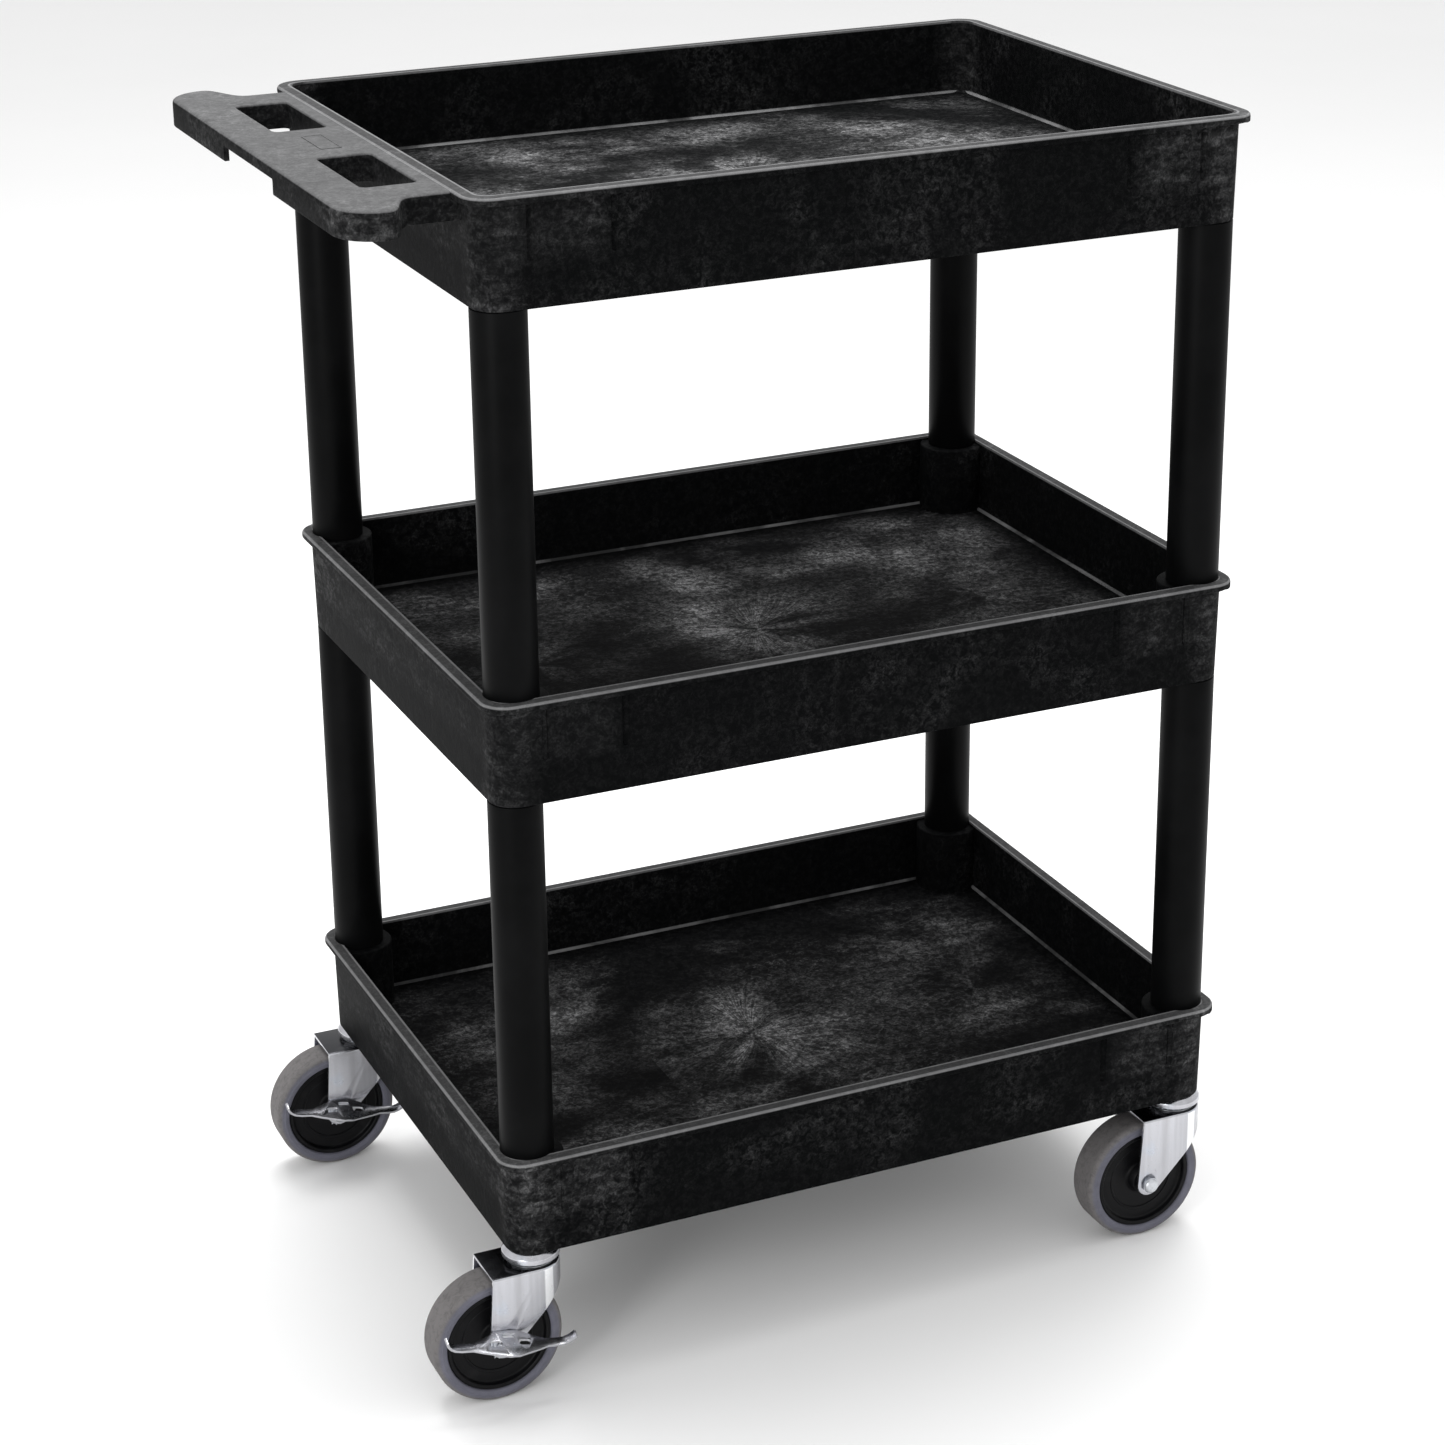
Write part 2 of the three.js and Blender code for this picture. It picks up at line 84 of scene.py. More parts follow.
LEG_OFFSET = Vector((abs(LEG_PLACE.x - CENTRE.x), abs(LEG_PLACE.y - CENTRE.y)))
PLATEAU = LEG_LOW.z - SKIRTS[0] - GAP        # top of a corner post above the skirt
SWIVELS = {name: joint_place(f"swivel_{name}") for name in CORNERS}
AXLES = {name: joint_place(f"roll_{name}") for name in CORNERS}


# ---- settings -----------------------------------------------------------------------------

class ShelfSettings(bpy.types.PropertyGroup):
    lip_thickness: FloatProperty(
        name="Lip thickness", description="Height of the rolled lip", default=6 * MM, unit="LENGTH")
    wall: FloatProperty(
        name="Wall", description="Thickness of walls and handle skirt", default=4 * MM, unit="LENGTH")
    draft: FloatProperty(
        name="Draft", description="Lean of each wall over its height", default=1 * MM, unit="LENGTH")
    floor_top: FloatProperty(
        name="Floor height", description="Top of the floor above the skirt", default=20 * MM, unit="LENGTH")
    floor_thickness: FloatProperty(
        name="Floor thickness", description="Thickness of the floor", default=4 * MM, unit="LENGTH")
    post_radius: FloatProperty(
        name="Post radius", description="Corner posts inside a tub", default=27 * MM, unit="LENGTH")
    colour: FloatVectorProperty(
        name="Plastic", description="Dark colour of the structural foam",
        default=(0.0022, 0.0024, 0.0026), subtype="COLOR")
    # lightest colour: of the real flow marks and mottling, and of the painted highlights and painted light on
    # rims, floor fillets, corner posts and handle top
    splay_and_painted_light: FloatVectorProperty(
        name="Flow marks and painted light", description="Lightest colour of the flow marks and painted light on rims and handle",
        default=(0.33, 0.33, 0.335), subtype="COLOR")


class HandleSettings(bpy.types.PropertyGroup):
    half_width: FloatProperty(
        name="Half width", description="Handle at its widest", default=221 * MM, unit="LENGTH")
    neck: FloatProperty(
        name="Neck", description="Half width beside the tub", default=187 * MM, unit="LENGTH")
    corner: FloatProperty(
        name="Corner radius", description="Outer corners in plan", default=30 * MM, unit="LENGTH")
    skirt: FloatProperty(
        name="Skirt", description="Depth of the skirt at both ends", default=21 * MM, unit="LENGTH")
    finger_skirt: FloatProperty(
        name="Shallow skirt", description="Depth of the skirt in the middle", default=9.5 * MM, unit="LENGTH")
    finger_cut: FloatProperty(
        name="Finger cut", description="Half length of the shallow stretch", default=60 * MM, unit="LENGTH")
    plate: FloatProperty(
        name="Plate", description="Thickness of the top plate", default=5 * MM, unit="LENGTH")
    hole_depth: FloatProperty(
        name="Hole depth", description="Hand hole along the cart", default=40 * MM, unit="LENGTH")
    hole_length: FloatProperty(
        name="Hole length", description="Hand hole across the cart", default=102 * MM, unit="LENGTH")
    hole_centre: FloatProperty(
        name="Hole place", description="Hand hole from the middle", default=99 * MM, unit="LENGTH")
    hole_from_lip: FloatProperty(
        name="Hole from lip", description="Plate between tub lip and hole", default=10 * MM, unit="LENGTH")


class CasterSettings(bpy.types.PropertyGroup):
    tyre_colour: FloatVectorProperty(
        name="Tyre side", description="Grey of the non-marking rubber",
        default=(0.105, 0.105, 0.132), subtype="COLOR")
    tread_colour: FloatVectorProperty(
        name="Tread", description="Colour of the rolled and dusty tread",
        default=(0.135, 0.128, 0.128), subtype="COLOR")
    zinc_colour: FloatVectorProperty(
        name="Zinc", description="Reflection colour of the plated steel",
        default=(0.56, 0.565, 0.6), subtype="COLOR")
    zinc_shade: FloatVectorProperty(
        name="Zinc shade", description="Reflection colour of its duller bands",
        default=(0.45, 0.45, 0.475), subtype="COLOR")


class StageSettings(bpy.types.PropertyGroup):
    focal_length: FloatProperty(
        name="Focal length", description="Lens of the camera in millimetres", default=82.9)
    world_strength: FloatProperty(
        name="World light", description="Strength of the even white surroundings", default=0.92)
    key_strength: FloatProperty(
        name="Key light", description="Power of the overhead light in watts", default=110.0)


# ---- shader maths -------------------------------------------------------------------------

class Signal:
    """A node's output socket. Sums and products of signals add their Math nodes."""

    def __init__(self, shader, socket):
        self.shader = shader
        self.socket = socket

    def maths(self, operation, *others, clamp=False):
        inputs = dict(enumerate((self, *others)))
        return self.shader.add("ShaderNodeMath", {"operation": operation, "use_clamp": clamp}, inputs)

    def __add__(self, other):
        return self.maths("ADD", other)

    def __sub__(self, other):
        return self.maths("SUBTRACT", other)

    def __mul__(self, other):
        return self.maths("MULTIPLY", other)

    def __truediv__(self, other):
        return self.maths("DIVIDE", other)

    def __pow__(self, other):
        return self.maths("POWER", other)

    def __radd__(self, other):
        return self.maths("ADD", other)

    def __rmul__(self, other):
        return self.maths("MULTIPLY", other)

    def __rsub__(self, other):
        return (self * -1.0) + other

    def __abs__(self):
        return self.maths("ABSOLUTE")

    def step(self, low, high):
        """0 below low, 1 above high and smooth between them; high may be the lower one."""
        return self.shader.add(
            "ShaderNodeMapRange", {"interpolation_type": "SMOOTHSTEP"},
            {"Value": self, "From Min": low, "From Max": high})


class Shader:
    """A material's node tree, with one method that adds any node."""

    def __init__(self, name):
        self.material = bpy.data.materials.new(name)
        self.material.use_nodes = True
        self.tree = self.material.node_tree
        self.surface = self.tree.nodes["Principled BSDF"]
        self.place = self.add("ShaderNodeTexCoord", output="Object")

    def add(self, kind, settings=None, inputs=None, output=0):
        node = self.tree.nodes.new(kind)
        for key, value in (settings or {}).items():
            setattr(node, key, value)
        for key, value in (inputs or {}).items():
            self.feed(node.inputs[key], value)
        return Signal(self, node.outputs[output])

    def feed(self, socket, value):
        if isinstance(value, Signal):
            self.tree.links.new(value.socket, socket)
        elif hasattr(socket.default_value, "__len__") and len(socket.default_value) == 4:
            socket.default_value = (*tuple(value)[:3], 1.0)
        else:
            socket.default_value = value

    def set(self, **inputs):
        """Sets or links the sockets of the surface shader, named with _ for a space."""
        for key, value in inputs.items():
            self.feed(self.surface.inputs[key.replace("_", " ")], value)

    def moved(self, location=(0, 0, 0), rotation=(0, 0, 0), scale=(1, 1, 1), place=None):
        return self.add("ShaderNodeMapping", None, {
            "Vector": place or self.place, "Location": location, "Rotation": rotation, "Scale": scale})

    def noise(self, scale, detail=4.0, roughness=0.55, distortion=0.0, place=None):
        return self.add("ShaderNodeTexNoise", {"noise_dimensions": "3D"}, {
            "Vector": place or self.place, "Scale": scale, "Detail": detail,
            "Roughness": roughness, "Distortion": distortion})

    def cells(self, scale, place=None, feature="F1"):
        return self.add("ShaderNodeTexVoronoi", {"feature": feature}, {
            "Vector": place or self.place, "Scale": scale}, output="Distance")

    def axes(self, place=None):
        split = self.add("ShaderNodeSeparateXYZ", None, {0: place or self.place})
        node = split.socket.node
        return [Signal(self, node.outputs[axis]) for axis in "XYZ"]

    def vector(self, x, y, z):
        return self.add("ShaderNodeCombineXYZ", None, {0: x, 1: y, 2: z})

    def blend(self, first, second, factor):
        """first where factor is 0, second where it is 1."""
        return self.add("ShaderNodeMix", {"data_type": "RGBA"}, {0: factor, 6: first, 7: second}, output=2)

    def bump(self, height, distance, strength=1.0, under=None):
        inputs = {"Height": height, "Distance": distance, "Strength": strength}
        if under:
            inputs["Normal"] = under
        return self.add("ShaderNodeBump", None, inputs)


GROOVE_INSETS = (78 * MM, 17 * MM)           # upright grooves, from a leg's axis along a long wall


def from_lip(shader):
    """How far a place is inside the outer edge of the lip, in plan, negative outside it."""
    x, y, _ = shader.axes(shader.moved((-CENTRE.x, -CENTRE.y, 0)))
    corner = LEG_RADIUS
    across = abs(x) - (LIP_HALF.x - corner)
    along = abs(y) - (LIP_HALF.y - corner)
    out_x = across.maths("MAXIMUM", 0.0)
    out_y = along.maths("MAXIMUM", 0.0)
    inner = across.maths("MAXIMUM", along).maths("MINIMUM", 0.0)
    return corner - (out_x * out_x + out_y * out_y) ** 0.5 - inner


def above_skirt(shader):
    """Height above the skirt of whichever tub a place belongs to, from half a bay below it."""
    z = shader.axes()[2]
    return (z - (SKIRTS[0] + DEPTH / 2)).maths("WRAP", PITCH / 2, -PITCH / 2) + DEPTH / 2


def band(signal, low, high, blur):
    """1 where a signal lies between low and high, falling off over blur."""
    return signal.step(low - blur, low) * signal.step(high + blur, high)


def flow_marks(shader):
    """Soft petals of lighter skin that fan out over a floor from three gates along its middle."""
    spacing = 196 * MM
    x, y, z = shader.axes(shader.moved((-CENTRE.x, -CENTRE.y, 0)))
    storey = (z / PITCH).maths("ROUND")
    sway = shader.noise(5.0, 2.0, place=shader.moved((0.3, 0.9, 0), scale=(1, 1, 3.7))) - 0.5
    swirl = shader.noise(6.0, 2.0, place=shader.moved((5.1, 2.7, 0), scale=(1, 1, 3.1))) - 0.5
    across = x.maths("WRAP", spacing / 2, -spacing / 2) + sway * 0.05
    along = y + swirl * 0.07
    cell = (x / spacing).maths("ROUND")
    reach = (across * across + along * along) ** 0.5 + 0.001
    turn_x = across / reach
    turn_y = along / reach
    seed = cell * 5.3 + storey * 2.9
    petal_place = shader.vector(turn_x * 1.1 + seed, turn_y * 1.1, reach * 13.0)
    petals = shader.noise(1.0, 4.0, 0.55, place=petal_place)
    fibre_place = shader.vector(turn_x * 30.0 + seed, turn_y * 30.0, reach * 26.0)
    fibres = shader.noise(1.0, 5.0, 0.65, place=fibre_place)
    haze = shader.noise(4.2, 4.0, 0.6, 0.5, place=shader.moved((1.7, 0.2, 0), scale=(1, 1.5, 2.3)))
    wisps = shader.noise(13.0, 5.0, 0.62, 1.6, place=shader.moved(scale=(0.6, 1.3, 2)))
    middle_gate = abs(cell).step(1.0, 0.0) * 0.7 + 0.3
    near = reach.step(120 * MM, 8 * MM) * middle_gate
    star = petals.step(0.38, 0.66) * near
    leaf_place = shader.vector(x * 12.0 + sway * 2.2, y * 12.0 + swirl * 2.2, storey * 7.3)
    leaves = shader.cells(1.0, place=leaf_place).step(0.66, 0.1)
    fronts = abs(wisps - 0.5).step(0.012, 0.003) * haze.step(0.4, 0.55)
    clumps = (0.16 + leaves * 0.9) * (0.6 + wisps.step(0.34, 0.68) * 0.5)
    broad = haze.step(0.4, 0.66) * clumps + star * 0.75
    streaks = 0.6 + (fibres.step(0.3, 0.7) - 0.3) * (near * 1.1 + 0.3)
    return broad * streaks * 1.9 + fronts * 0.22


def shelf_plastic(settings):
    """Black structural foam: leathery cloudy walls, petals on the floors, painted highlights on rims, floor
    fillets and corners, painted top light on the handle.
    """
    shader = Shader("shelf_plastic")
    height = above_skirt(shader)
    inset = from_lip(shader)
    marks = flow_marks(shader)
    clouds = shader.noise(8.5, 5.0, 0.6, 0.9)
    blotches = shader.noise(40.0, 5.0, 0.62, 1.0)
    leather = shader.noise(210.0, 4.0, 0.65, 0.7)
    grain = shader.noise(640.0, 3.0, 0.6)
    speckle = leather.step(0.36, 0.72) * (0.3 + grain.step(0.3, 0.7))
    floor = band(height, settings.floor_top - 1 * MM, settings.floor_top + 0.3 * MM, 0.5 * MM)
    floor = floor * inset.step(10.5 * MM, 12 * MM)
    wall_light = speckle * (0.03 + clouds.step(0.44, 0.74) * (0.07 + blotches.step(0.36, 0.72) * 0.18))
    floor_light = marks * inset.step(4 * MM, 80 * MM) * (0.22 + speckle * 1.8) + speckle * 0.05
    rim = height.step(DEPTH - 2.2 * MM, DEPTH - 1.2 * MM)
    # painted highlights: bright lines along the outer and inner edges of the rim, over a lighter rim top with
    # grain
    rim_edge_highlights = band(inset, 0.1 * MM, 1.3 * MM, 0.7 * MM) + band(inset, 8.7 * MM, 9.9 * MM, 0.6 * MM)
    rim_painted_light = rim_edge_highlights * (0.3 + blotches * 0.8) + 0.04 + grain * 0.25 + leather * 0.25
    # painted highlight: a bright thin line on the fillet where the inner wall meets the floor
    fillet_highlight_band = band(inset, 10.5 * MM, 13.4 * MM, 0.4 * MM) * band(
        height, settings.floor_top + 0.2 * MM, settings.floor_top + 1.4 * MM, 0.7 * MM)
    fillet_highlight = fillet_highlight_band * (0.25 + clouds.step(0.4, 0.6))
    # painted light: the top of the push handle is made lighter grey
    handle = height.step(DEPTH - 2.6 * MM, DEPTH - 1.6 * MM) * inset.step(-0.4 * MM, -1 * MM)
    handle_painted_light = handle * (blotches * 0.4 + leather * 0.45 + grain * 0.25)
    corner_x, corner_y, _ = shader.axes(shader.moved((-CENTRE.x, -CENTRE.y, 0)))
    # painted reflection: lighter brushed patches on the rounded corners and the outer walls beside them; the
    # groove is left out of it, so it stays dark as painted shade
    beside_post = (abs(corner_x).step(LEG_OFFSET.x - GROOVE_INSETS[0], LEG_OFFSET.x - 60 * MM)
                   * inset.step(9 * MM, 7 * MM) * height.step(0.3 * DEPTH, 0.5 * DEPTH))
    at_post = (abs(corner_x).step(LEG_OFFSET.x - 16 * MM, LEG_OFFSET.x + 4 * MM)
               * abs(corner_y).step(LEG_OFFSET.y - 16 * MM, LEG_OFFSET.y + 4 * MM))
    brushed = shader.noise(1.0, 4.0, 0.6, 0.4, place=shader.moved(scale=(60, 60, 190)))
    groove = band(abs(corner_x), LEG_OFFSET.x - GROOVE_INSETS[0] - 3 * MM,
                  LEG_OFFSET.x - GROOVE_INSETS[0] + 3 * MM, 1 * MM)
    post_painted_reflection = (at_post + beside_post * 0.8 * (1.0 - groove)) * (0.3 + speckle) * (
        0.04 + clouds.step(0.3, 0.7) * brushed.step(0.36, 0.7) * 0.27)
    light = (
        (wall_light + post_painted_reflection) * (1.0 - floor) + floor_light * floor
        + rim * rim_painted_light * (1.0 - handle) + fillet_highlight + handle_painted_light)
    shader.set(
        Base_Color=shader.blend(settings.colour, settings.splay_and_painted_light, light.maths("MINIMUM", 2.2) / 2.2),
        Roughness=0.46 + clouds * 0.16 + leather * 0.1 - handle * 0.06,
        Specular_IOR_Level=0.016,
    )
    skin = shader.bump(grain * 0.6 + leather * 0.6, 0.0003, 0.5)
    shader.set(Normal=shader.bump(blotches, 0.0009, 0.45, skin))
    return shader.material


def leg_plastic():
    """Smooth satin tube with faint lines drawn along it."""
    shader = Shader("leg_plastic")
    lines = shader.noise(1.0, 3.0, 0.5, place=shader.moved(scale=(900, 900, 9)))
    haze = shader.noise(17.0, 4.0, 0.6)
    speck = shader.noise(420.0, 2.0, 0.5)
    shader.set(
        Base_Color=shader.blend((0.0014, 0.0015, 0.0016), (0.0032, 0.0033, 0.0035), haze.step(0.35, 0.75)),
        Roughness=0.36 + haze * 0.12 + lines * 0.05,
        Specular_IOR_Level=0.045,
        Normal=shader.bump(lines * 0.6 + speck * 0.5, 0.00006, 0.5),
    )
    return shader.material


def zinc_plate(settings, name):
    """Bright zinc over pressed steel: soft upright bands, bluish passivation, brighter cut edges, painted
    shade on the crown top under the tub.
    """
    shader = Shader(f"zinc_plate_{name}")
    local = shader.moved(-Vector((SWIVELS[name].x, SWIVELS[name].y, 0)))
    _, y, z = shader.axes(local)
    bands = shader.noise(1.0, 3.0, 0.5, place=shader.moved(scale=(130, 130, 6), place=local))
    spangle = shader.cells(210.0, place=local, feature="SMOOTH_F1")
    clouds = shader.noise(46.0, 4.0, 0.6, place=local)
    specks = shader.noise(900.0, 3.0, 0.7, place=local).step(0.62, 0.78)
    below_crown = z.step(CROWN_TOP - 1 * MM, CROWN_TOP - 2 * MM)
    cut_edge = abs(y).step(CHEEK - 0.1 * MM, CHEEK - 0.3 * MM) * abs(y).step(
        CHEEK - SHEET - 0.2 * MM, CHEEK - SHEET + 0.2 * MM) * below_crown
    plate = shader.blend(settings.zinc_colour, settings.zinc_shade, bands.step(0.25, 0.75))
    tint = shader.blend(plate, (0.47, 0.56, 0.68), clouds.step(0.52, 0.76) * 0.35)
    stained = shader.blend(tint, (0.2, 0.19, 0.18), specks * 0.35)
    # painted shade: the top of the crown, under the tub, is made near black
    crown_painted_shade = band(z, CROWN_TOP - 0.3 * MM, CROWN_TOP + 0.1 * MM, 0.2 * MM)
    wear_and_shade = shader.blend(stained, (0.035, 0.036, 0.04), crown_painted_shade * 0.97)
    shader.set(
        Base_Color=shader.blend(wear_and_shade, (0.92, 0.93, 0.95), cut_edge),
        Metallic=1.0,
        Roughness=0.14 + clouds * 0.14 + spangle * 0.08 + specks * 0.2,
        Normal=shader.bump(bands * 0.3 + clouds + spangle * 0.4, 0.00005, 0.25),
    )
    return shader.material


def bolt_steel():
    """Turned and plated fastener steel."""
    shader = Shader("bolt_steel")
    clouds = shader.noise(150.0, 4.0, 0.6)
    dirt = shader.noise(420.0, 4.0, 0.7).step(0.5, 0.8)
    shader.set(
        Base_Color=shader.blend((0.6, 0.62, 0.65), (0.2, 0.19, 0.18), dirt * 0.5),
        Metallic=1.0,
        Roughness=0.26 + clouds * 0.2,
        Normal=shader.bump(clouds, 0.00008, 0.4),
    )
    return shader.material


def black_nylon():
    """Moulded nylon with a fine spark-eroded grain."""
    shader = Shader("black_nylon")
    grain = shader.noise(760.0, 3.0, 0.6)
    shader.set(
        Base_Color=shader.blend((0.008, 0.008, 0.009), (0.02, 0.02, 0.021), grain.step(0.4, 0.7)),
        Roughness=0.42 + grain * 0.2,
        Normal=shader.bump(grain, 0.00008, 0.5),
    )
    return shader.material


def wheel_rings(shader, name):
    """Distance from the axle, with the pattern centred on that caster's wheel."""
    x, _, z = shader.axes(shader.moved(-AXLES[name]))
    return (x * x + z * z) ** 0.5


def hub_plastic(name):
    """Satin black wheel core with turned rings and handling dust."""
    shader = Shader(f"hub_plastic_{name}")
    reach = wheel_rings(shader, name)
    rings = (reach * 2600.0).maths("SINE") * 0.5 + 0.5
    haze = shader.noise(60.0, 5.0, 0.65)
    dust = haze.step(0.5, 0.8) * reach.step(0.012, 0.04)
    shader.set(
        Base_Color=shader.blend((0.003, 0.003, 0.0036), (0.022, 0.021, 0.022), dust * 0.5),
        Roughness=0.34 + haze * 0.2,
        Specular_IOR_Level=0.13,
        Normal=shader.bump(rings * 0.4 + haze * 0.4, 0.00012, 0.4),
    )
    return shader.material


def grey_rubber(settings, name):
    """Non-marking rubber: bluish moulded sides with rings, a warmer scuffed and dusty tread."""
    shader = Shader(f"grey_rubber_{name}")
    reach = wheel_rings(shader, name)
    haze = shader.noise(42.0, 5.0, 0.65)
    scuff = shader.noise(210.0, 5.0, 0.7, 0.6)
    tread = reach.step(0.0462, 0.0496)
    rings = (reach * 4200.0).maths("SINE") * 0.5 + 0.5
    wear_and_shade = scuff.step(0.42, 0.72) * (0.25 + tread * 0.75)
    side = shader.blend(settings.tyre_colour, (0.15, 0.15, 0.185), haze.step(0.4, 0.75) * 0.6)
    base = shader.blend(side, settings.tread_colour, tread)
    shader.set(
        Base_Color=shader.blend(base, (0.06, 0.057, 0.058), wear_and_shade * 0.6),
        Roughness=0.58 + scuff * 0.22,
        Specular_IOR_Level=0.25,
        Normal=shader.bump(scuff * (0.4 + tread) + rings * 0.25, 0.0003, 0.45),
    )
    return shader.material


# ---- modelling by hand --------------------------------------------------------------------

def deselect_all():
    if bpy.context.object and bpy.context.object.mode != "OBJECT":
        bpy.ops.object.mode_set(mode="OBJECT")
    bpy.ops.object.select_all(action="DESELECT")


def active(piece):
    deselect_all()
    piece.select_set(True)
    bpy.context.view_layer.objects.active = piece
    return piece


class Modelling:
    """Edit mode on one piece: with Modelling(piece) as edit."""

    def __init__(self, piece):
        self.piece = piece

    def __enter__(self):
        active(self.piece)
        bpy.ops.object.mode_set(mode="EDIT")
        self.mode("FACE")
        return self

    def __exit__(self, *problem):
        bpy.ops.object.mode_set(mode="OBJECT")

    def mode(self, kind):
        bpy.ops.mesh.select_mode(type=kind)

    def all(self):
        bpy.ops.mesh.select_all(action="SELECT")

    def select(self, kind, test):
        """Selects the verts, edges or faces for which test(place, item) holds."""
        self.mode({"verts": "VERT", "edges": "EDGE", "faces": "FACE"}[kind])
        bpy.ops.mesh.select_all(action="DESELECT")
        mesh = bmesh.from_edit_mesh(self.piece.data)
        found = False
        for item in getattr(mesh, kind):
            if kind == "verts":
                place = item.co
            elif kind == "edges":
                place = (item.verts[0].co + item.verts[1].co) / 2
            else:
                place = item.calc_center_median()
            if test(place, item):
                item.select = True
                found = True
        if not found:
            raise RuntimeError(f"nothing was selected on {self.piece.name}")
        mesh.select_flush_mode()
        bmesh.update_edit_mesh(self.piece.data)

    def faces_towards(self, axis, sign=1, test=None):
        """Selects the faces that look along an axis, and pass a test of their place."""
        self.select("faces", lambda place, face: face.normal[axis] * sign > 0.9 and (
            test is None or test(place)))

    def upright_edges(self, test=None):
        def stands(place, edge):
            rise = edge.verts[1].co - edge.verts[0].co
            return abs(rise.z) > 0.9 * rise.length and (test is None or test(place))
        self.select("edges", stands)


def finished(piece, name, material, body, replaced=()):
    """Names a piece, gives it its material and ties it to the frame."""
    piece.name = name
    piece.data.name = name
    piece.data.materials.clear()
    piece.data.materials.append(material)
    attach(piece, body)
    if replaced:
        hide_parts(*replaced)
    return piece


def apply_place(piece):
    active(piece)
    bpy.ops.object.transform_apply(location=True, rotation=True, scale=True)


def block(low, high):
    """A box primitive between two corners."""
    deselect_all()
    middle = [(a + b) / 2 for a, b in zip(low, high)]
    bpy.ops.mesh.primitive_cube_add(size=1, location=middle, scale=[b - a for a, b in zip(low, high)])
    piece = bpy.context.object
    apply_place(piece)
    return piece


def rod(centre, radius, low, high, axis="Z", sides=48):
    """A closed cylinder along an axis, from low to high on it."""
    deselect_all()
    place = Vector(centre)
    place["XYZ".index(axis)] = (low + high) / 2
    turn = {"X": (0, math.pi / 2, 0), "Y": (math.pi / 2, 0, 0), "Z": (0, 0, 0)}[axis]
    bpy.ops.mesh.primitive_cylinder_add(
        vertices=sides, radius=radius, depth=high - low, location=place, rotation=turn)
    piece = bpy.context.object
    apply_place(piece)
    return piece


def rounded_block(low, high, radius, segments=8, where=None):
    """A block with rounded upright edges."""
    piece = block(low, high)
    with Modelling(piece) as edit:
        edit.upright_edges(where)
        bpy.ops.mesh.bevel(offset=radius, segments=segments, affect="EDGES")
    return piece


def use_modifier(piece, kind, **settings):
    active(piece)
    modifier = piece.modifiers.new(kind.title(), kind)
    for key, value in settings.items():
        setattr(modifier, key, value)
    bpy.ops.object.modifier_apply(modifier=modifier.name)
    return piece


def combine(piece, others, operation):
    """Joins, cuts or intersects a piece with others, which are used up."""
    for other in others:
        use_modifier(piece, "BOOLEAN", operation=operation, object=other, solver="EXACT")
        data = other.data
        bpy.data.objects.remove(other)
        bpy.data.meshes.remove(data)
    return piece


def joined(piece, *others):
    return combine(piece, others, "UNION")


def cut(piece, *others):
    return combine(piece, others, "DIFFERENCE")


def kept_inside(piece, *others):
    return combine(piece, others, "INTERSECT")


def smooth(piece, angle=38):
    active(piece)
    bpy.ops.object.shade_smooth_by_angle(angle=math.radians(angle), keep_sharp_edges=False)


def lathe(profile, centre=(0, 0, 0), axis="Z", sides=96, name="turned"):
    """Spins a drawn [radius, height] line about an axis through centre.

    A line that starts and ends on the axis makes a closed piece; one that comes back to its
    first point makes a ring."""
    deselect_all()
    bpy.ops.mesh.primitive_plane_add(size=1)
    piece = bpy.context.object
    piece.name = name
    with Modelling(piece) as edit:
        edit.mode("VERT")
        edit.all()
        bpy.ops.mesh.merge(type="CENTER")
        first = Vector((profile[0][0], 0, profile[0][1]))
        bpy.ops.transform.translate(value=first)
        previous = first
        for radius, height in profile[1:]:
            point = Vector((radius, 0, height))
            bpy.ops.mesh.extrude_region_move(TRANSFORM_OT_translate={"value": point - previous})
            previous = point
        edit.all()
        bpy.ops.mesh.spin(
            steps=sides, angle=math.tau, center=(0, 0, 0), axis=(0, 0, 1), use_auto_merge=True)
        edit.all()
        bpy.ops.mesh.remove_doubles(threshold=0.004 * MM)
        bpy.ops.mesh.normals_make_consistent(inside=False)
    if axis == "Y":
        with Modelling(piece) as edit:
            edit.all()
            bpy.ops.transform.rotate(
                value=math.pi / 2, orient_axis="X", center_override=(0, 0, 0), orient_type="GLOBAL")
    with Modelling(piece) as edit:
        edit.all()
        bpy.ops.transform.translate(value=centre)
        bpy.ops.mesh.normals_make_consistent(inside=False)
    smooth(piece)
    return piece


def arc(centre, radius, start, end, steps):
    """Points [radius, height] along an arc of a profile, angles in degrees."""
    points = []
    for i in range(steps + 1):
        angle = math.radians(start + (end - start) * i / steps)
        points.append((centre[0] + radius * math.cos(angle), centre[1] + radius * math.sin(angle)))
    return points


def copied(piece, shift, name):
    """A copy with its own mesh, moved in its mesh so that its object stays at the origin."""
    active(piece)
    bpy.ops.object.duplicate(linked=False)
    twin = bpy.context.object
    with Modelling(twin) as edit:
        edit.all()
        bpy.ops.transform.translate(value=shift)
    twin.name = name
    return twin


# ---- shelves ------------------------------------------------------------------------------

LIP_OVERHANG = 6 * MM
WALL_HALF = LIP_HALF.xy - Vector((LIP_OVERHANG, LIP_OVERHANG))   # outside of the walls at the rim
CORNER_SIGNS = ((-1, -1), (-1, 1), (1, -1), (1, 1))
RADIUS = LEG_RADIUS                          # outer corners of a tub
SINK = 0.6 * MM                              # how far posts stay inside the walls
NEAR = LIP_HALF.x / 60 / 9                   # tolerance for picking the edges at one level
RIB_DEPTH = 5 * MM
RIB_HALF = 2 * MM
SPIGOT_LENGTH = 34 * MM
SOCKET_HOLE = 11.3 * MM                      # radius of the bores for the stem sockets
SOCKET_DEPTH = 42 * MM


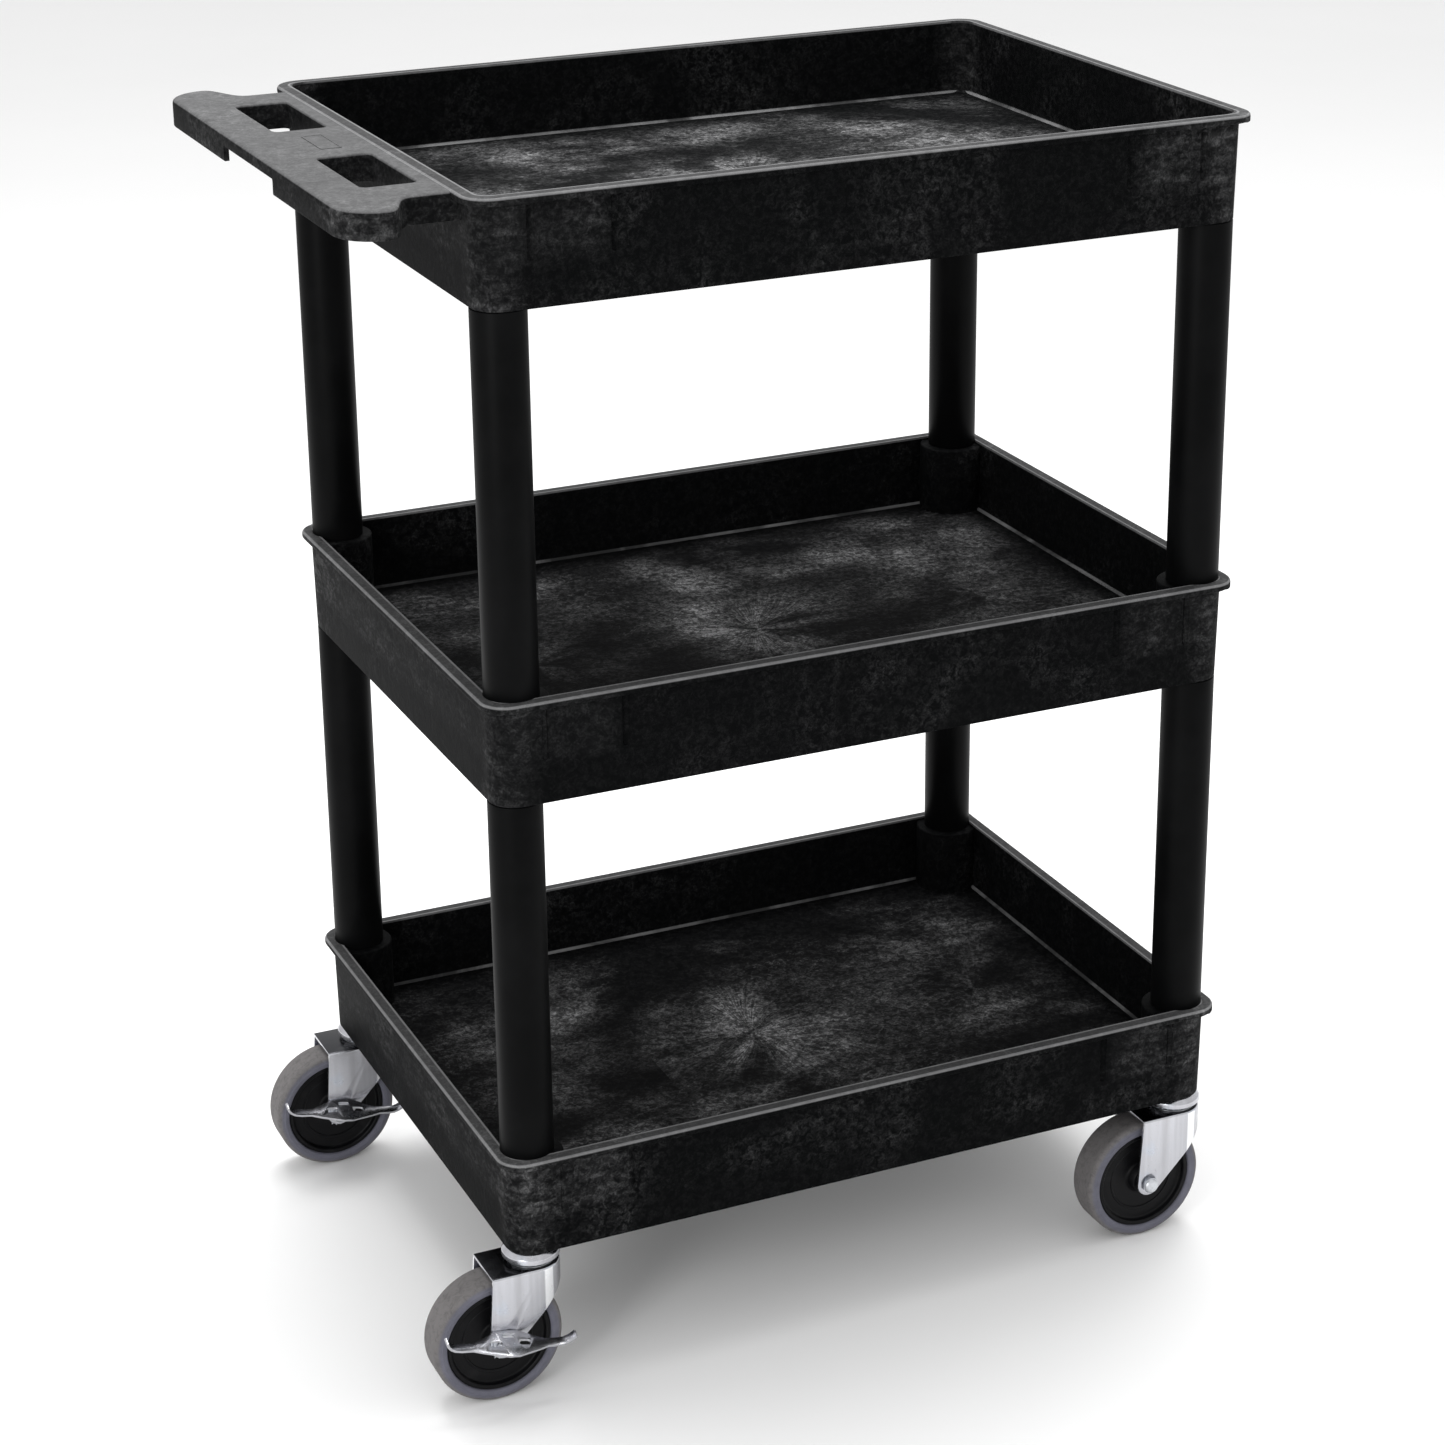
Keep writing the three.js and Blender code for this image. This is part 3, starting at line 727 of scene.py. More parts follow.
def spread(factor_x, factor_y):
    """Resizes what is selected about the plan centre of the shelf."""
    bpy.ops.transform.resize(
        value=(factor_x, factor_y, 1), center_override=(CENTRE.x, CENTRE.y, 0), orient_type="GLOBAL")


def drafted_block(half, low, high, lean, radius):
    """A block with rounded corners whose walls lean out by lean from low to high."""
    piece = rounded_block(
        (CENTRE.x - half.x, CENTRE.y - half.y, low), (CENTRE.x + half.x, CENTRE.y + half.y, high),
        radius, segments=10)
    with Modelling(piece) as edit:
        edit.faces_towards(2)
        spread((half.x + lean) / half.x, (half.y + lean) / half.y)
    return piece


def crease(piece, test, width, segments=3, least=25):
    """Rounds the sharp edges whose middle passes the test."""
    def sharp(place, edge):
        return len(edge.link_faces) == 2 and test(place) and edge.calc_face_angle(0) > math.radians(least)
    with Modelling(piece) as edit:
        edit.select("edges", sharp)
        bpy.ops.mesh.bevel(
            offset=width, segments=segments, affect="EDGES", clamp_overlap=False, miter_outer="ARC")
        edit.all()
        bpy.ops.mesh.remove_doubles(threshold=0.01 * MM)


def tub_shell(settings):
    """Walls, rolled lip, floor and open underside of the lowest tub, before any corner posts."""
    floor = SKIRTS[0]
    rim = floor + DEPTH
    bottom_half = WALL_HALF - Vector((settings.draft, settings.draft))
    tub = drafted_block(bottom_half, floor, rim - settings.lip_thickness, settings.draft, RADIUS)
    with Modelling(tub) as edit:
        edit.faces_towards(2)
        bpy.ops.mesh.extrude_region_move(TRANSFORM_OT_translate={"value": (0, 0, 0)})
        spread(LIP_HALF.x / WALL_HALF.x, LIP_HALF.y / WALL_HALF.y)
        bpy.ops.mesh.extrude_region_move(TRANSFORM_OT_translate={"value": (0, 0, settings.lip_thickness)})
        edit.all()
        bpy.ops.mesh.remove_doubles(threshold=0.01 * MM)
    crease(tub, lambda place: place.z > rim - 0.4 * settings.lip_thickness, 2.4 * MM, 5)
    crease(tub, lambda place: (
        abs(place.z - rim + settings.lip_thickness) < 0.5 * MM
        and (abs(place.x - CENTRE.x) > LIP_HALF.x - 2 * MM or abs(place.y - CENTRE.y) > LIP_HALF.y - 2 * MM)
    ), 1.6 * MM, 4)
    crease(tub, lambda place: place.z < floor + 0.5 * MM, 1.2 * MM, 3)
    inner_half = bottom_half - Vector((settings.wall, settings.wall))
    inner_radius = RADIUS - settings.wall
    cavity = drafted_block(inner_half, floor + settings.floor_top, rim + 1 * MM, settings.draft, inner_radius)
    crease(cavity, lambda place: place.z < floor + settings.floor_top + 0.5 * MM, 3 * MM, 4)
    ceiling = floor + settings.floor_top - settings.floor_thickness
    recess = rounded_block(
        (CENTRE.x - inner_half.x, CENTRE.y - inner_half.y, floor - 5 * MM),
        (CENTRE.x + inner_half.x, CENTRE.y + inner_half.y, ceiling), inner_radius, 10)
    crease(recess, lambda place: place.z > ceiling - 0.5 * MM, 2 * MM, 3)
    return cut(tub, cavity, recess)


def corner_post(sign, settings, height, level):
    """A round post that fills one corner of a tub from the skirt up to height."""
    floor = SKIRTS[level]
    x = CENTRE.x + sign[0] * LEG_OFFSET.x
    y = CENTRE.y + sign[1] * LEG_OFFSET.y
    post = rod((x, y, 0), settings.post_radius, floor, floor + height, "Z", 64)
    out_x = x + sign[0] * settings.post_radius
    out_y = y + sign[1] * settings.post_radius
    crease(post, lambda place: place.z > floor + height - 0.1 * MM, 1.4 * MM, 3)
    filler = block(
        (min(x, out_x), min(y, out_y), floor), (max(x, out_x), max(y, out_y), floor + height))
    shell_half = WALL_HALF - Vector((settings.draft + SINK, settings.draft + SINK))
    shell = drafted_block(shell_half, floor + SINK, floor + DEPTH, settings.draft, RADIUS - SINK)
    return kept_inside(joined(post, filler), shell)


def spigot(sign, low, high):
    """The stub inside a leg."""
    radius = LEG_RADIUS - 2.8 * MM
    x = CENTRE.x + sign[0] * LEG_OFFSET.x
    y = CENTRE.y + sign[1] * LEG_OFFSET.y
    stub = rod((x, y, 0), radius, low, high, "Z", 48)
    crease(stub, lambda place: abs(place.z - low) < NEAR or abs(place.z - high) < NEAR, 2 * MM, 2)
    return stub


def add_ribs(tub, settings, level):
    """Stiffening ribs across and along the underside."""
    ceiling = SKIRTS[level] + settings.floor_top - settings.floor_thickness
    low = ceiling - RIB_DEPTH
    high = ceiling + 1 * MM
    reach = WALL_HALF - Vector((settings.wall, settings.wall))
    ribs = [block(
        (CENTRE.x - reach.x, CENTRE.y - RIB_HALF, low), (CENTRE.x + reach.x, CENTRE.y + RIB_HALF, high))]
    for side in (-1, 1):
        x = CENTRE.x + side * LEG_OFFSET.x / 3
        ribs.append(block((x - RIB_HALF, CENTRE.y - reach.y, low), (x + RIB_HALF, CENTRE.y + reach.y, high)))
    return joined(tub, *ribs)


def add_grooves(tub, level):
    """Upright grooves near the corners, in the outside of the two long walls."""
    grooves = []
    low = SKIRTS[level] + 0.42 * DEPTH
    high = SKIRTS[level] + 0.9 * DEPTH
    for x_sign, y_sign in CORNER_SIGNS:
        for inset in GROOVE_INSETS:
            x = CENTRE.x + x_sign * (LEG_OFFSET.x - inset)
            y = CENTRE.y + y_sign * (WALL_HALF.y + 0.8 * MM)
            groove = rod((x, y, 0), 3 * MM, low, high, "Z", 24)
            crease(groove, lambda place: place.z < low + 0.1 * MM, 2 * MM, 3)
            grooves.append(groove)
    return cut(tub, *grooves)


def add_posts(tub, settings, level, tall):
    """Leg posts in the corners: tall ones stand in the tub, short ones stay under its floor."""
    height = PLATEAU if tall else settings.floor_top - 1 * MM
    posts = [corner_post(sign, settings, height, level) for sign in CORNER_SIGNS]
    joined(tub, *posts)
    if tall:
        seats = [rod(
            (CENTRE.x + sign[0] * LEG_OFFSET.x, CENTRE.y + sign[1] * LEG_OFFSET.y, 0),
            LEG_RADIUS + 0.35 * MM, SKIRTS[level] + PLATEAU, SKIRTS[level] + DEPTH + 2 * MM, "Z", 64,
        ) for sign in CORNER_SIGNS]
        cut(tub, *seats)
    return tub


def bezier(start, first, second, end, steps=8):
    """Points along a curve, without its start."""
    points = []
    for i in range(1, steps + 1):
        t = i / steps
        u = 1 - t
        points.append(Vector(start) * u ** 3 + Vector(first) * 3 * u * u * t
                      + Vector(second) * 3 * u * t * t + Vector(end) * t ** 3)
    return points


def raised(outline, low, high):
    """A drawn outline, filled and raised from low to high."""
    deselect_all()
    bpy.ops.mesh.primitive_plane_add(size=1)
    piece = bpy.context.object
    with Modelling(piece) as edit:
        edit.mode("VERT")
        edit.all()
        bpy.ops.mesh.merge(type="CENTER")
        first = Vector((*outline[0], low))
        bpy.ops.transform.translate(value=first)
        previous = first
        for place in outline[1:]:
            point = Vector((*place, low))
            bpy.ops.mesh.extrude_region_move(TRANSFORM_OT_translate={"value": point - previous})
            previous = point
        edit.all()
        bpy.ops.mesh.edge_face_add()
        edit.all()
        bpy.ops.mesh.extrude_region_move(TRANSFORM_OT_translate={"value": (0, 0, high - low)})
        edit.all()
        bpy.ops.mesh.normals_make_consistent(inside=False)
    return piece


def round_arc(x, y, radius, start, end, steps=8):
    """Places on an arc in plan, angles in degrees."""
    angles = [math.radians(start + (end - start) * i / steps) for i in range(steps + 1)]
    return [Vector((x + radius * math.cos(a), y + radius * math.sin(a))) for a in angles]


def handle_outline(handle, inset):
    """The handle in plan, from its root in the tub wall out to its two rounded ends."""
    root = CENTRE.x - WALL_HALF.x + 2 * MM
    neck_x = CENTRE.x - LIP_HALF.x - 28 * MM
    neck = handle.neck - inset
    wide = handle.half_width - inset
    corner_x = TOP_LOW.x + handle.corner
    corner_y = handle.half_width - handle.corner
    bend = 13 * MM
    half = [Vector((root, neck)), Vector((neck_x, neck))]
    half += bezier((neck_x, neck), (neck_x - bend, neck), (corner_x + bend, wide), (corner_x, wide), 10)
    half += round_arc(corner_x, corner_y, handle.corner - inset, 90, 180)[1:]
    outline = [Vector((x, CENTRE.y + y)) for x, y in half]
    return outline + [Vector((x, 2 * CENTRE.y - y)) for x, y in reversed(outline)]


def hand_hole(handle, side, grow, low, high):
    """The space for four fingers, grown outwards by grow."""
    near = CENTRE.x - LIP_HALF.x - handle.hole_from_lip
    middle = CENTRE.y + side * handle.hole_centre
    half = handle.hole_length / 2
    return rounded_block(
        (near - handle.hole_depth - grow, middle - half - grow, low),
        (near + grow, middle + half + grow, high), 5 * MM + grow, 6)


def push_handle(handle, settings):
    """Hollow push handle with two hand holes and a finger cut in the middle of its outer skirt."""
    top = SKIRTS[2] + DEPTH - 0.7 * MM
    bottom = SKIRTS[2] + DEPTH - handle.skirt
    grip = raised(handle_outline(handle, 0), bottom, top)
    root = CENTRE.x - WALL_HALF.x
    crease(grip, lambda place: place.z > top - 0.1 * MM and place.x < root - 1 * MM, 3 * MM, 5)
    crease(grip, lambda place: place.z < bottom + 0.1 * MM and place.x < root - 1 * MM, 0.9 * MM, 2)
    underside = top - handle.plate
    hollow = raised(handle_outline(handle, settings.wall), bottom - 2 * MM, underside)
    tub_side = block((root - 1 * MM, TOP_LOW.y, bottom - 3 * MM), (root + 9 * MM, TOP_HIGH.y, top + 1 * MM))
    cut(hollow, tub_side)
    collars = [hand_hole(handle, side, 3 * MM, bottom + 0.3 * MM, underside + 1 * MM) for side in (-1, 1)]
    cut(grip, hollow)
    joined(grip, *collars)
    finger_cut = block(
        (TOP_LOW.x - 2 * MM, CENTRE.y - handle.finger_cut, bottom - 2 * MM),
        (TOP_LOW.x + settings.wall + 1 * MM, CENTRE.y + handle.finger_cut,
         SKIRTS[2] + DEPTH - handle.finger_skirt))
    crease(finger_cut, lambda place: place.z > bottom and (
        abs(abs(place.y - CENTRE.y) - handle.finger_cut) < NEAR), 1.5 * MM, 3)
    cut(grip, finger_cut)
    cut(grip, *[hand_hole(handle, side, 0, bottom - 3 * MM, top + 3 * MM) for side in (-1, 1)])
    near = CENTRE.x - LIP_HALF.x - handle.hole_from_lip

    def on_hole(place):
        inside_x = near - handle.hole_depth - 0.2 * MM < place.x < near + 0.2 * MM
        return place.z > top - 0.1 * MM and inside_x
    crease(grip, on_hole, 1.3 * MM, 4)
    return joined(grip, badge(top, near - handle.hole_depth / 2))


def badge(top, x):
    """Blank moulded plate between the hand holes: a low frame round a sunk field."""
    low = top - 1 * MM
    high = top + 0.45 * MM
    half_x, half_y = 8 * MM, 24 * MM
    plate = rounded_block(
        (x - half_x, CENTRE.y - half_y, low), (x + half_x, CENTRE.y + half_y, high), 2 * MM, 4)
    with Modelling(plate) as edit:
        edit.faces_towards(2)
        bpy.ops.mesh.inset(thickness=1.3 * MM)
        bpy.ops.mesh.extrude_region_move(TRANSFORM_OT_translate={"value": (0, 0, -0.4 * MM)})
        bpy.ops.transform.resize(value=(0.97, 0.985, 1))
    return plate


class CART_OT_shelves(bpy.types.Operator):
    """Model the three moulded tubs, with posts for the legs and the push handle on the top one"""
    bl_idname = "cart.shelves"
    bl_label = "Tub shelves"
    bl_options = {"REGISTER", "UNDO"}

    def execute(self, context):
        settings = context.scene.cart_shelves
        handle = context.scene.cart_handle
        plastic = shelf_plastic(settings)
        shell = tub_shell(settings)
        tubs = [copied(shell, (0, 0, level * PITCH), f"tub_{level}") for level in range(3)]
        bpy.data.objects.remove(shell)
        for level, tub in enumerate(tubs):
            add_ribs(tub, settings, level)
            add_grooves(tub, level)
            add_posts(tub, settings, level, tall=level < 2)
        bottom, middle, top = tubs
        for level, tub in enumerate((bottom, middle)):
            plateau = SKIRTS[level] + PLATEAU
            joined(tub, *[spigot(sign, plateau - 1 * MM, plateau + SPIGOT_LENGTH) for sign in CORNER_SIGNS])
        for level, tub in ((1, middle), (2, top)):
            skirt = SKIRTS[level]
            joined(tub, *[spigot(sign, skirt - SPIGOT_LENGTH, skirt + 1 * MM) for sign in CORNER_SIGNS])
        cut(bottom, *[rod(
            (SWIVELS[name].x, SWIVELS[name].y, 0), SOCKET_HOLE, SKIRTS[0] - 2 * MM,
            SKIRTS[0] + SOCKET_DEPTH, "Z", 40,
        ) for name in CORNERS])
        joined(top, push_handle(handle, settings))
        for name, tub in (("bottom_shelf", bottom), ("middle_shelf", middle), ("top_shelf", top)):
            with Modelling(tub) as edit:
                edit.all()
                bpy.ops.mesh.remove_doubles(threshold=0.02 * MM)
                bpy.ops.mesh.dissolve_limited(angle_limit=math.radians(0.4))
            smooth(tub, 32)
            finished(tub, f"{name}_moulding", plastic, "frame", (name,))
        return {"FINISHED"}


# ---- legs ---------------------------------------------------------------------------------

class CART_OT_legs(bpy.types.Operator):
    """Turn one tubular leg and stand its copies in the corners of the lower and upper bays"""
    bl_idname = "cart.legs"
    bl_label = "Legs"
    bl_options = {"REGISTER", "UNDO"}

    def execute(self, context):
        plastic = leg_plastic()
        inner = LEG_RADIUS - 2.5 * MM
        length = LEG_HIGH.z - LEG_LOW.z
        turn = 0.7 * MM
        profile = [(inner, turn), (inner + turn, 0), (LEG_RADIUS - turn, 0)]
        profile += arc((LEG_RADIUS - turn, turn), turn, -90, 0, 3)[1:]
        profile += arc((LEG_RADIUS - turn, length - turn), turn, 0, 90, 3)
        profile += [(inner + turn, length), (inner, length - turn), (inner, turn)]
        template = lathe(profile, sides=96)
        for storey in ("lower", "upper"):
            for name in CORNERS:
                low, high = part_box(f"{storey}_leg_{name}")
                place = ((low.x + high.x) / 2, (low.y + high.y) / 2, low.z)
                leg = copied(template, place, f"{storey}_leg_tube_{name}")
                smooth(leg)
                finished(leg, leg.name, plastic, "frame", (f"{storey}_leg_{name}",))
        bpy.data.objects.remove(template)
        return {"FINISHED"}


# ---- casters ------------------------------------------------------------------------------
# Each piece is modelled once, with the swivel axis on x = y = 0 and the wheel trailing towards -X,
# and its copies are moved under the corners of the cart.

LOCAL_AXLE = AXLES["front_right"] - Vector((SWIVELS["front_right"].x, SWIVELS["front_right"].y, 0))
CROWN_TOP = SWIVELS["front_right"].z
FORK_LOW, FORK_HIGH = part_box("fork_front_right")
CHEEK = (FORK_HIGH.y - FORK_LOW.y) / 2
SHEET = 2.6 * MM                             # steel of the forks
BOLT_HOLE = 4.3 * MM                         # radius of every hole that an axle goes through
WHEEL_RADIUS = (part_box("tyre_front_right")[1].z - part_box("tyre_front_right")[0].z) / 2
MOUNT = SKIRTS[0]
BALL = 1.5 * MM                              # radius of a ball in a swivel
BALL_COUNT = 22
PEDAL_SHEET = 2 * MM
TREAD_SLOPE = math.radians(18)
PEDAL_TILT = math.radians(11)
LOCAL_CENTRE = (LOCAL_AXLE.x, 0, LOCAL_AXLE.z)
MADE = {}                                    # names of the materials made so far


def under_each_corner(template, name, material, body, node, corners=CORNERS, angle=38):
    """Moves copies of a piece under the corners. material is one for all, or a rule by corner."""
    for corner in corners:
        shift = (SWIVELS[corner].x, SWIVELS[corner].y, 0)
        twin = copied(template, shift, f"{name}_{corner}")
        smooth(twin, angle)
        finish = material(corner) if callable(material) else material
        rides_on = body if body == "frame" else f"{body}_{corner}"
        finished(twin, twin.name, finish, rides_on, (f"{node}_{corner}",))
    bpy.data.objects.remove(template)


def drawn_sideways(outline, low, high):
    """An outline in X and Z, raised from low to high along Y."""
    piece = raised(outline, -high, -low)
    with Modelling(piece) as edit:
        edit.all()
        bpy.ops.transform.rotate(
            value=-math.pi / 2, orient_axis="X", center_override=(0, 0, 0), orient_type="GLOBAL")
        bpy.ops.mesh.normals_make_consistent(inside=False)
    if not math.isclose(max(v.co.y for v in piece.data.vertices), high, abs_tol=1e-5):
        raise RuntimeError("the outline was laid down the wrong way")
    return piece


def fork_plan(half, back):
    return [Vector((back, half)), Vector((back, -half)), *round_arc(0, 0, half, -90, 90, 24)]


def cheek_outline():
    """A fork cheek from the side, with a round eye for the axle."""
    eye = 10 * MM
    outline = [(LOCAL_AXLE.x - 6 * MM, CROWN_TOP + 1 * MM), (LOCAL_AXLE.x - eye, LOCAL_AXLE.z)]
    outline += round_arc(LOCAL_AXLE.x, LOCAL_AXLE.z, eye, 180, 324, 14)[1:]
    outline += [(CHEEK + 1 * MM, CROWN_TOP - 15 * MM), (CHEEK + 1 * MM, CROWN_TOP + 1 * MM)]
    return outline


def fork():
    """Pressed fork: a flat crown folded down into two tapering cheeks, with a hole in the crown for the stem.
    """
    back = LOCAL_AXLE.x - 11 * MM
    outside = raised(fork_plan(CHEEK, back), LOCAL_AXLE.z - 11 * MM, CROWN_TOP)
    crease(outside, lambda place: place.z > CROWN_TOP - 0.1 * MM and place.x > back + 0.1 * MM, 2 * MM, 5)
    inside = raised(fork_plan(CHEEK - SHEET, back - 1 * MM), 0, CROWN_TOP - SHEET)
    crease(inside, lambda place: place.z > CROWN_TOP - SHEET - 0.1 * MM and place.x > back, 1 * MM, 3)
    cut(outside, inside)
    kept_inside(outside, drawn_sideways(cheek_outline(), -CHEEK - 1 * MM, CHEEK + 1 * MM))
    cut(outside, rod(LOCAL_AXLE, BOLT_HOLE, -CHEEK - 2 * MM, CHEEK + 2 * MM, "Y"))
    cut(outside, rod((0, 0, 0), 5.8 * MM, CROWN_TOP - 6 * MM, CROWN_TOP + 2 * MM))
    use_modifier(
        outside, "BEVEL", width=0.35 * MM, segments=2, limit_method="ANGLE",
        angle_limit=math.radians(50), use_clamp_overlap=True)
    return outside


def race_cup():
    """Fixed upper race, pressed from sheet and turned down over the balls."""
    top = MOUNT - GAP
    outer = [(5.8 * MM, top), *arc((16.5 * MM, top - 3.2 * MM), 3.2 * MM, 90, 40, 4)]
    outer += arc((20.2 * MM, top - 4.6 * MM), 1.7 * MM, 50, 0, 4)
    outer += [(22 * MM, top - 6.6 * MM), (22 * MM, top - 7.5 * MM), (20.6 * MM, top - 7.5 * MM)]
    outer += [(20.2 * MM, top - 5 * MM), (17 * MM, top - 2.4 * MM), (5.8 * MM, top - 2 * MM)]
    return lathe(outer + outer[:1], sides=96)


def ball_ring():
    """Lower race and a crown of balls in their retainer."""
    low = CROWN_TOP + GAP
    race = [(12 * MM, low), (18.6 * MM, low), (18.6 * MM, low + 0.7 * MM), (17.2 * MM, low + 1 * MM)]
    race += arc((15.6 * MM, low + 2.2 * MM), BALL, -45, -135, 4)
    race += [(12 * MM, low + 1 * MM), (12 * MM, low)]
    ring = lathe(race, sides=64)
    deselect_all()
    bpy.ops.mesh.primitive_uv_sphere_add(segments=14, ring_count=10, radius=BALL, location=(
        15.8 * MM, 0, low + 2.15 * MM))
    ball = bpy.context.object
    apply_place(ball)
    balls = [ball]
    for i in range(1, BALL_COUNT):
        twin = copied(ball, (0, 0, 0), "ball")
        with Modelling(twin) as edit:
            edit.all()
            bpy.ops.transform.rotate(
                value=math.tau * i / BALL_COUNT, orient_axis="Z", center_override=(0, 0, 0),
                orient_type="GLOBAL")
        balls.append(twin)
    active(ring)
    for ball in balls:
        ball.select_set(True)
    bpy.ops.object.join()
    return ring


def stem():
    """Stem with its riveted head below the fork crown."""
    under = CROWN_TOP - SHEET - GAP
    top = MOUNT + 38 * MM
    profile = [(0, 100.7 * MM), (6.4 * MM, 100.9 * MM), *arc((7.4 * MM, 102.6 * MM), 1.6 * MM, -80, 0, 4)]
    profile += [(9 * MM, under - 0.4 * MM), (8.6 * MM, under), (5.5 * MM, under)]
    profile += [(5.5 * MM, top - 1.5 * MM), (4 * MM, top), (0, top)]
    return lathe(profile, sides=48)


def axle_bolt():
    """Axle with a domed rivet head on the outer side and a plain end on the other."""
    head = -CHEEK - 2.9 * MM
    profile = [(0, head - 3.4 * MM), (2.2 * MM, head - 3.35 * MM)]
    profile += arc((3 * MM, head - 0.1 * MM), 3.2 * MM, -75, -8, 6)
    profile += [(6.6 * MM, head - 0.5 * MM), (6.6 * MM, head), (4 * MM, head)]
    profile += [(4 * MM, CHEEK + 7.4 * MM), (3.4 * MM, CHEEK + 8 * MM), (0, CHEEK + 8 * MM)]
    return lathe(profile, LOCAL_CENTRE, "Y", 48)


def axle_nut():
    """Hexagon nut with chamfered corners and a locking collar."""
    low = CHEEK + GAP
    nut = rod(LOCAL_AXLE, 7 * MM, low, low + 4.4 * MM, "Y", 6)
    dome = lathe([
        (0, low - 1 * MM), (6.3 * MM, low - 1 * MM), (7.2 * MM, low + 0.6 * MM), (7.2 * MM, low + 3.8 * MM),
        (6.2 * MM, low + 4.6 * MM), (0, low + 4.6 * MM)], LOCAL_CENTRE, "Y", 48)
    kept_inside(nut, dome)
    collar = rod(LOCAL_AXLE, 5.2 * MM, low + 3 * MM, low + 5.7 * MM, "Y", 40)
    crease(collar, lambda place: place.y > low + 5.6 * MM, 0.8 * MM, 3)
    joined(nut, collar)
    return cut(nut, rod(LOCAL_AXLE, BOLT_HOLE, low - 2 * MM, low + 8 * MM, "Y", 40))


def sleeve():
    half = CHEEK - SHEET - GAP
    profile = [(BOLT_HOLE, -half), (6 * MM, -half), (6 * MM, half), (BOLT_HOLE, half), (BOLT_HOLE, -half)]
    return lathe(profile, LOCAL_CENTRE, "Y", 40)


def mirrored_profile(side):
    """A ring's profile from its outer side, repeated for its inner side."""
    return side + [(radius, -height) for radius, height in reversed(side)]


def tyre():
    """Rubber tread with rounded shoulders, a fine step on each side and a groove beside the hub."""
    half = 15 * MM
    bore = 41.3 * MM
    side = [(bore, -half + 1.2 * MM), (bore + 0.5 * MM, -half + 0.4 * MM), (bore + 1.2 * MM, -half)]
    side += [(45.2 * MM, -half), (45.6 * MM, -half + 0.35 * MM)]
    side += arc((WHEEL_RADIUS - 4.7 * MM, -half + 5.2 * MM), 4.7 * MM, -82, -8, 9)
    side += [(WHEEL_RADIUS - 0.02 * MM, -half + 7 * MM), (WHEEL_RADIUS, -3 * MM)]
    profile = mirrored_profile(side)
    return lathe(profile + profile[:1], LOCAL_CENTRE, "Y", 128)


def hub():
    """Moulded wheel core: rim, thin web with two raised rings, and the boss round the axle."""
    side = [(6.3 * MM, -15.6 * MM), (10.4 * MM, -15.6 * MM), (11 * MM, -15 * MM), (12.4 * MM, -9.4 * MM)]
    side += arc((14.6 * MM, -9.8 * MM), 2 * MM, 165, 90, 4)
    side += [(26.4 * MM, -8.6 * MM), (26.8 * MM, -9.3 * MM), (28 * MM, -9.3 * MM), (28.4 * MM, -8.8 * MM)]
    side += [(34 * MM, -9 * MM), *arc((35.4 * MM, -10.8 * MM), 1.8 * MM, 90, 10, 4)]
    side += [(37.6 * MM, -13 * MM), (38.2 * MM, -13.6 * MM), (40.4 * MM, -13.6 * MM), (41 * MM, -13 * MM)]
    profile = mirrored_profile(side)
    return lathe(profile + profile[:1], LOCAL_CENTRE, "Y", 128)


def tread_line(sheet):
    """The pedal's bent tread from the side, level with the axle at the origin."""
    line = [(-52, 20.2), (-50.2, 17.2), (-47.6, 14.6), (-44, 12.8), (-39, 12), (-22, 12)]
    line += [(-10, 12.9), (0, 13.6)]
    line += [(10, 12.9), (22, 12), (38, 12), (42.6, 12.7), (46, 14.6), (48.4, 17), (50, 19.4)]
    top = [Vector(point) * MM for point in line]
    offsets = []
    for i, point in enumerate(top):
        along = (top[min(i + 1, len(top) - 1)] - top[max(i - 1, 0)]).normalized()
        offsets.append(point - Vector((-along.y, along.x)) * sheet)
    return top + offsets[::-1]


def slope_down(strip, hinge_y, hinge_z):
    """Bends the tread down towards its outer corner, about the line where it leaves the neck."""
    before = min(v.co.z for v in strip.data.vertices)
    with Modelling(strip) as edit:
        edit.all()
        bpy.ops.transform.rotate(
            value=-TREAD_SLOPE, orient_axis="X", center_override=(0, hinge_y, hinge_z),
            orient_type="GLOBAL")
    if min(v.co.z for v in strip.data.vertices) > before:
        raise RuntimeError("the tread was bent the wrong way")


